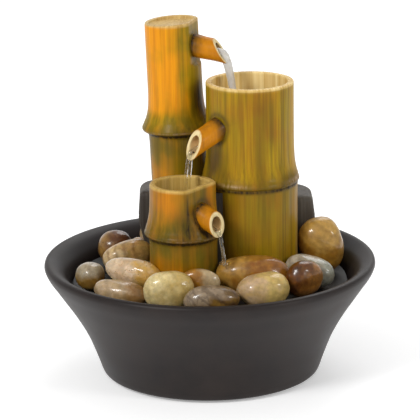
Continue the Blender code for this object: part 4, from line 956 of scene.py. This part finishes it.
# %% Housing finish and mesh
def slate_finish():
    """Cast resin painted as split slate: matt, with upright grey and brown strokes."""
    material, tree, shader = finish("slate_painted_resin", Roughness=0.55, IOR=1.45)
    shader.inputs["Specular IOR Level"].default_value = 0.3
    place = add(tree, "ShaderNodeTexCoord").outputs["Object"]
    stain = add(tree, "ShaderNodeAttribute", attribute_name="stain")
    fine = streaks_along(tree, place, 1.0 * MM, 26 * MM, 0.35, 0.65)
    broad = streaks_along(tree, place, 4.5 * MM, 60 * MM, 0.35, 0.65)
    ground = blend_of(tree, broad, "#3d352f", "#5a544c")
    stroked = blend_of(tree, fine, ground, "#686258")
    half = add(tree, "ShaderNodeMath", {0: fine, 1: 0.55}, operation="MULTIPLY")
    mixed = blend_of(tree, half.outputs[0], ground, stroked)
    # Darkened towards #1d1713: painted shade in the web between the canes, and darker low down and at the front
    # on the left.
    darkened = blend_of(tree, stain.outputs["Fac"], mixed, "#1d1713")
    tree.links.new(darkened, shader.inputs["Base Color"])
    relief = add(tree, "ShaderNodeBump", {"Height": fine, "Distance": 0.2 * MM, "Strength": 0.6})
    tree.links.new(relief.outputs[0], shader.inputs["Normal"])
    return material


HOUSING = dict(bottom=42.0, waist=93.0, crown=112.0, front=22.0, back=57.5, wall=3.0, slope=0.045)
SIDES_AT = ((-34, -45.6, -44.4), (54.5, 68.4, 66.6))  # left and right, at the bottom, waist and crown
SOFT, CRISP = 15, 2.5  # radii of the back and front corners
POINTS_ROUND = 240


def housing_ring(z, inset, carve=0.0):
    """Points round the housing at a height: a box with soft corners that widens up to its waist."""
    h = HOUSING
    left, right = [np.interp(z, (h["bottom"], h["waist"], h["crown"]), sides) for sides in SIDES_AT]
    x_low, x_high, y_low, y_high = left + inset, right - inset, h["front"] + inset, h["back"] - inset
    corners = []
    for x, y, radius, start in ((x_high, y_low, CRISP, -90), (x_high, y_high, SOFT, 0),
                                (x_low, y_high, SOFT, 90), (x_low, y_low, CRISP, 180)):
        radius = max(radius - inset, 0.5)
        centre = (x - math.copysign(radius, x - 10), y - math.copysign(radius, y - 40))
        turns = np.radians(start + np.linspace(0, 90, 13))
        corners += [(centre[0] + radius * math.cos(a), centre[1] + radius * math.sin(a)) for a in turns]
    outline = np.array(corners + corners[:1])
    run = np.append(0, np.cumsum(np.hypot(*np.diff(outline, axis=0).T)))
    at = np.linspace(0, run[-1], POINTS_ROUND, endpoint=False)
    x, y = np.interp(at, run, outline[:, 0]), np.interp(at, run, outline[:, 1])
    fall = h["slope"] * max(0.0, (z - h["waist"]) / (h["crown"] - h["waist"]))
    ring = []
    for px, py in zip(x, y):
        out = Vector((px - 11, (py - 40) * 2.2, 0)).normalized()
        flute = carve * (noise.noise(Vector((px / 3.2, py / 3.2, z / 45))) - 0.25)
        ring.append(Vector((px + out.x * flute, py + out.y * flute, z - fall * (px + 44))) * MM)
    return ring


h = HOUSING
rings = [housing_ring(108.5, h["wall"] + 1.2)]
rings += [housing_ring(z, h["wall"]) for z in np.linspace(h["waist"], h["bottom"] + 0.3, 12)]
rings += [housing_ring(h["bottom"], h["wall"] - 0.4), housing_ring(h["bottom"], 0.6)]
rings += [housing_ring(z, 0, 0.55) for z in np.arange(h["bottom"] + 0.6, 109.5, 1.6)]
rounding = ((110.2, 0.5), (111.0, 1.2), (111.6, 2.1), (h["crown"], 3.6))
rings += [housing_ring(z, inset, 0.3) for z, inset in rounding]
rings.append(housing_ring(h["crown"], 9))
vertices, faces = ring_grid(rings)
housing = mesh_piece("slate_housing", vertices, faces, slate_finish())
# The web fills the crevice between the short and the wide cane, and carries painted shade.
web, rail_stop = cutter_box((-7, -17, 42), (12, 24, 121)), cutter_box((-1, 57, 62), (41, 61.6, 64.2))
extras = [web, rail_stop]
for wall_low, wall_high, lip_low, lip_high in ((-2, 1, -2, 3.4), (39, 42, 36.6, 42)):
    extras.append(cutter_box((wall_low, 56.8, 63), (wall_high, 62.6, 104)))
    extras.append(cutter_box((lip_low, 60.6, 63.01), (lip_high, 62.59, 103.99)))
combined(housing, extras, "UNION")
tools = [cutter_box((7, 50, 68), (33, 59, 98))]
for name, foot, above, radius in (("cane_wide", 30, 130, 30.15), ("cane_tall", 57.6, 140, 18.65),
                                  ("cane_short", 30, 130, 21.6)):
    low, high = ((cane_place(CANES[name]) @ Vector((0, 0, z * MM))) / MM for z in (foot, above))
    tools.append(cutter_rod(low, high, radius, 96))
combined(housing, tools)
stain = housing.data.attributes.new("stain", "FLOAT", "POINT")
for v in housing.data.vertices:
    x, y, z = v.co / MM
    # Painted shade in the web between the short and the wide cane; elsewhere darker towards the bottom and at
    # the front on the left.
    in_web = -8 < x < 13 and y < 21.5
    low_and_front = 0.3 * step_up(80, 62, z) + 0.35 * step_up(30, 22, y) * (x < 20)
    stain.data[v.index].value = 0.75 if in_web else float(low_and_front)
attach(housing, "tower")
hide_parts("pump_housing")
print("housing", len(housing.data.polygons), "faces")

# %% [markdown]
# ## Finishes of the pieces that keep their solids
# Moulded plastic, rubber, vinyl, steel and copper parts sit low in the bowl or behind the canes. Their solids
# already have the right shape, so each only needs its finish: a grain in the mould for plastic, a dull bloom
# on rubber, and the lacquered sheen of a wound coil.

# %% Moulded and metal finishes
def moulded(name, dark, light, grain, roughness, depth=0.05, metallic=0.0, **surface):
    """A finish with two close colours in clouds and a fine relief. Grain is its size in millimetres."""
    material, tree, shader = finish(name, Roughness=roughness, Metallic=metallic, **surface)
    place = add(tree, "ShaderNodeTexCoord").outputs["Object"]
    clouds = add(tree, "ShaderNodeTexNoise", {0: place, "Scale": 1 / (9 * MM), "Detail": 3.0})
    fine = add(tree, "ShaderNodeTexNoise", {0: place, "Scale": 1 / (grain * MM), "Detail": 2.0})
    tone = add(tree, "ShaderNodeValToRGB", {0: clouds.outputs[0]}, stops=[(0.3, dark), (0.7, light)])
    tree.links.new(tone.outputs[0], shader.inputs["Base Color"])
    relief = add(tree, "ShaderNodeBump", {"Height": fine.outputs[0], "Distance": depth * MM, "Strength": 0.6})
    tree.links.new(relief.outputs[0], shader.inputs["Normal"])
    return material


FINISHES = {
    "housing_resin": bpy.data.materials["slate_painted_resin"],
    "pump_plastic": moulded("black_abs", "#121213", "#1a1a1b", 0.5, 0.38),
    "tray_plastic": moulded("black_polypropylene", "#0e0e0e", "#171615", 0.6, 0.6),
    "rubber": moulded("black_nitrile_rubber", "#161616", "#222120", 0.4, 0.75),
    "potting": moulded("cast_epoxy", "#15161a", "#1f2024", 0.8, 0.25),
    "clear_vinyl": moulded("clear_vinyl", "#dfe6e4", "#eef2f0", 1.2, 0.12, Transmission_Weight=0.6),
    "copper": moulded("enamelled_copper", "#8a3f1c", "#b0592a", 0.35, 0.3, depth=0.12, metallic=1.0),
    "core_steel": moulded("laminated_steel", "#6d6e70", "#8b8c8e", 0.35, 0.4, depth=0.08, metallic=1.0),
    "ferrite": moulded("sintered_ferrite", "#1e1e20", "#2a2a2c", 0.3, 0.5),
    "shaft_ceramic": moulded("alumina_ceramic", "#dedbd2", "#eeebe4", 0.4, 0.15),
}
slot_of = {entry["node"]: entry["material_slot"] for entry in frame["record"]["subparts"]}
for name, solid in nodes.items():
    if slot_of[name] in FINISHES:
        for slot in solid.material_slots:
            slot.material = FINISHES[slot_of[name]]
print("finished", sum(slot_of[name] in FINISHES for name in nodes), "solids")

# %% [markdown]
# ## The motor's winding
# Inside the pump, enamelled copper wire is wound round the bar of the steel core. One rounded loop of wire is
# made as a curve and repeated along the bar at the wire's own spacing.

# %% Coil
winding, given = empty_tree("winding", Turns=15, Wire=0.5 * MM, Deep=6 * MM, Tall=18.2 * MM, Start=12.9 * MM,
                            Pitch=1.03 * MM)
loop = add(winding, "GeometryNodeCurvePrimitiveQuadrilateral",
           {"Width": given["Deep"], "Height": given["Tall"]})
soft = add(winding, "GeometryNodeFilletCurve", {"Curve": loop.outputs[0], "Radius": 0.0016}, mode="BEZIER")
wire = add(winding, "GeometryNodeCurvePrimitiveCircle", {"Resolution": 8, "Radius": given["Wire"]})
tube = add(winding, "GeometryNodeCurveToMesh", {0: soft.outputs[0], 1: wire.outputs[0]})
upright = add(winding, "GeometryNodeTransform",
              {0: tube.outputs[0], "Rotation": (math.pi / 2, 0.0, math.pi / 2)})
step = add(winding, "ShaderNodeCombineXYZ", {0: given["Pitch"]})
first = add(winding, "ShaderNodeCombineXYZ", {0: given["Start"], 1: 12.05 * MM, 2: 26 * MM})
row = add(winding, "GeometryNodeMeshLine",
          {"Count": given["Turns"], "Start Location": first.outputs[0], "Offset": step.outputs[0]})
turns = add(winding, "GeometryNodeInstanceOnPoints", {0: row.outputs[0], "Instance": upright.outputs[0]})
end_tree(winding, turns.outputs[0], given)
coil = grow("copper_winding", bpy.data.meshes.new("winding"), winding, Finish=FINISHES["copper"])
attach(coil, "bowl")
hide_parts("stator_coil")

# %% [markdown]
# ## Running water
# Water slides along the bottom of a spout's bore, leaves the lip with a little speed and falls freely, so its
# path is a straight line and then a parabola. The tree above draws a round section along that path. It
# thins as the water speeds up, and ripples a little. Clear water is a colourless glass with an index of 1.33,
# and water full of air is the same with some white in it.

# %% Water finishes
water, tree, shader = finish("clear_water", Roughness=0.015, IOR=1.333, Transmission_Weight=1.0)
shader.inputs["Base Color"].default_value = linear("#fbfdfd")
place = add(tree, "ShaderNodeTexCoord").outputs["Object"]
swirl = add(tree, "ShaderNodeTexNoise", {0: place, "Scale": 1 / (2.2 * MM), "Detail": 1.0})
dimple = add(tree, "ShaderNodeBump", {"Height": swirl.outputs[0], "Distance": 0.25 * MM, "Strength": 0.5})
tree.links.new(dimple.outputs[0], shader.inputs["Normal"])
aerated, tree, shader = finish("aerated_water", Roughness=0.1, IOR=1.333, Transmission_Weight=0.45)
place = add(tree, "ShaderNodeTexCoord").outputs["Object"]
bubbles = add(tree, "ShaderNodeTexNoise", {0: place, "Scale": 1 / (1.6 * MM), "Detail": 2.0})
tree.links.new(blend_of(tree, bubbles.outputs[0], "#dcd9d0", "#ffffff"), shader.inputs["Base Color"])
GRAVITY = 9810.0  # mm/s2
STEP = 0.0022  # seconds between the points of a falling path
print("water falls 10 mm in", round(math.sqrt(2 * 10 / GRAVITY), 3), "s")

# %% Water paths and strands
def falling_path(name, across, sink, inside, speed, bottom):
    """Along a spout's bore, over its lip and down to a height. Lengths are in millimetres."""
    size = SPOUTS[name]
    place = spout_place(size)
    middle, slope = (size["upper"] + size["lower"]) / 2, (size["lower"] - size["upper"]) / (2 * SPOUT_R)
    x = -(BORE_R - sink) * math.cos(math.radians(across))
    y = (BORE_R - sink) * math.sin(math.radians(across))
    lip = middle - slope * x
    path = [(place @ (Vector((x, y, lip - back)) * MM)) / MM for back in np.linspace(inside, 0.4, 6)]
    velocity = (path[-1] - path[-2]).normalized() * speed
    start, t = path[-1].copy(), 0.0
    while path[-1].z > bottom:
        t += STEP
        path.append(start + velocity * t - Vector((0, 0, GRAVITY * t * t / 2)))
    path[-1].z = bottom
    return path


def landing(x, y, names, default):
    """The height at which something falling at x and y meets a stone, or a given height where it meets none."""
    for name in names:
        hit, point, normal, face = pebbles[name].ray_cast(Vector((x, y, 200)) * MM, Vector((0, 0, -1)))
        if hit:
            return point.z / MM
    return default


# spout, across, sink, inside, speed, bottom, start and end radius, ripple, material
STRANDS = (
    ("spout_tall", 0, 3.0, 8, 105, 159.3, 3.1, 1.75, 0.9, aerated),
    ("spout_tall", 24, 1.6, 4, 85, 159.3, 1.4, 0.8, 0.7, aerated),
    ("spout_wide", -8, 1.5, 9, 55, 117.2, 1.5, 0.85, 0.8, water),
    ("spout_wide", 26, 1.2, 6, 85, 117.2, 1.2, 0.6, 0.7, water),
    ("spout_short", -14, 1.3, 7, 65, 82.0, 1.25, 0.75, 0.7, water),
    ("spout_short", 24, 1.2, 6, 125, 82.0, 1.1, 0.65, 0.6, water),
)
bpy.context.view_layer.update()
splashes = []
for index, (name, across, sink, inside, speed, bottom, wide, thin, ripple, material) in enumerate(STRANDS):
    path = falling_path(name, across, sink, inside, speed, bottom)
    if name == "spout_short":
        bottom = landing(path[-1].x, path[-1].y, ["stone_09", "stone_13", "stone_08"], 82.0) + 0.6
        path = falling_path(name, across, sink, inside, speed, bottom)
    run = bpy.data.meshes.new("path")
    run.from_pydata([tuple(p * MM) for p in path], [(k, k + 1) for k in range(len(path) - 1)], [])
    strand = grow(f"water_{name[6:]}_{index}", run, along, Start=wide * MM, End=thin * MM, Ripple=ripple * MM,
                  Seed=float(index), Sides=16, Finish=material)
    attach(strand, "tower")
    splashes.append((name, path[-1]))

# %% Splashes
for index in range(0, len(splashes), 2):
    name, point = splashes[index]
    spread = bpy.data.meshes.new("splash")
    turns = np.linspace(0, math.tau, 24, endpoint=False)
    ring = [(point + Vector((3.2 * math.cos(a), 3.2 * math.sin(a), 0.1))) * MM for a in turns]
    spread.from_pydata([tuple(p) for p in ring], [], [list(range(24))])
    drops = grow("droplets_" + name[6:], spread, scatter, Density=1.2e6, Apart=0.9 * MM, Dot=0.42 * MM,
                 Flat=1.0, Rise=2.6 * MM, Above=0.0, Seed=index + 11, Finish=water)
    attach(drops, "tower")

# %% [markdown]
# ## Water standing in the cups
# Each cup fills up to its spout. The water is one closed piece that keeps just clear of the wall, and rings
# spread over it from where the stream falls in.

# %% Cup water
def cup_water(name, level, falls):
    size = CANES[name]
    count = 96
    angle = np.linspace(0, math.tau, count, endpoint=False)
    wall = cup_radius(size, angle) - 0.25
    cx, cy = size["xy"]
    rings = []
    floor = size["cup"] + 0.25
    for share, z in ((0.1, floor), (0.5, floor), (0.9, floor + 0.4), (0.97, floor + 1.3), (1, floor + 2.6),
                     (1, level)):
        rings.append([(share * r * math.cos(a), share * r * math.sin(a), z) for r, a in zip(wall, angle)])
    for share in np.linspace(0.99, 0.02, 40):
        ring = []
        for r, a in zip(wall, angle):
            x, y = share * r * math.cos(a), share * r * math.sin(a)
            away = math.hypot(cx + x - falls.x, cy + y - falls.y)
            ring.append((x, y, level + 0.45 * math.cos(away * 1.7) * math.exp(-away / 7)))
        rings.append(ring)
    stacked = [[Vector((cx + x, cy + y, z)) * MM for x, y, z in ring] for ring in rings]
    vertices, faces = ring_grid(stacked)
    piece = mesh_piece("water_in_" + name[5:], vertices, faces, water, sharp=60)
    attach(piece, "tower")
    print(piece.name, "stands", round(level - floor, 1), "mm deep")


cup_water("cane_wide", 158.8, splashes[0][1])
cup_water("cane_short", 116.8, splashes[2][1])

# %% [markdown]
# ## Floor, light and camera
# A pale floor that curves up into the background, one large soft light over the left shoulder, a weaker one
# from the right and an even white surround give the object the look of a catalogue picture.

# %% Stage
def light(name, place, aim, size, power):
    lamp = bpy.data.lights.new(name, "AREA")
    lamp.energy, lamp.size = power, size
    made = linked(name, lamp)
    made.location = place
    made.rotation_euler = (Vector(aim) - Vector(place)).to_track_quat("-Z", "Y").to_euler()


floor_finish, floor_tree, floor_shader = finish("white_paper", Roughness=0.8, Emission_Strength=0.3)
floor_shader.inputs["Emission Color"].default_value = linear("#ffffff")
floor_shader.inputs["Base Color"].default_value = linear("#fbfbfb")
bend, depth, half = 0.5, 4.0, 4.5
section = [(-4.5, 0.0), (depth, 0.0)]
section += [(depth + bend * math.sin(a), bend - bend * math.cos(a)) for a in np.linspace(0.1, math.pi / 2, 12)]
section.append((depth + bend, 3.0))
rows = [[(-half, y, z), (half, y, z)] for y, z in section]
backdrop = mesh_piece("paper_sweep", [p for row in rows for p in row],
                      [(2 * k, 2 * k + 1, 2 * k + 3, 2 * k + 2) for k in range(len(rows) - 1)], floor_finish)

world = bpy.data.worlds.new("surround")
bpy.context.scene.world = world
world.use_nodes = True
world.node_tree.nodes["Background"].inputs[0].default_value = (1, 1, 1, 1)
world.node_tree.nodes["Background"].inputs[1].default_value = 0.5
light("key", (-0.9, -1.1, 1.1), (0, 0, 0.1), 0.45, 15)
light("fill", (1.2, -0.8, 0.7), (0, 0, 0.1), 0.35, 5)
light("rim", (0.3, 1.0, 1.2), (0, 0, 0.1), 0.8, 6)
bpy.context.scene.view_settings.view_transform = "Standard"

# %% Camera
ELEVATION, DISTANCE, ROLL = 16.2, 1.6, 0.8
target = Vector((0.0006, 0, 0.1054))
camera_data = bpy.data.cameras.new("camera")
camera_data.lens, camera_data.sensor_width = 215.9, 36.0
camera = linked("camera", camera_data)
up_angle = math.radians(ELEVATION)
camera.location = (0, -DISTANCE * math.cos(up_angle), 0.095 + DISTANCE * math.sin(up_angle))
look = (target - camera.location).to_track_quat("-Z", "Y").to_matrix().to_4x4()
camera.rotation_euler = (look @ Matrix.Rotation(-math.radians(ROLL), 4, "Z")).to_euler()
camera_data.clip_start = 0.05
bpy.context.scene.camera = camera
print("camera", round(ELEVATION, 1), "degrees up")
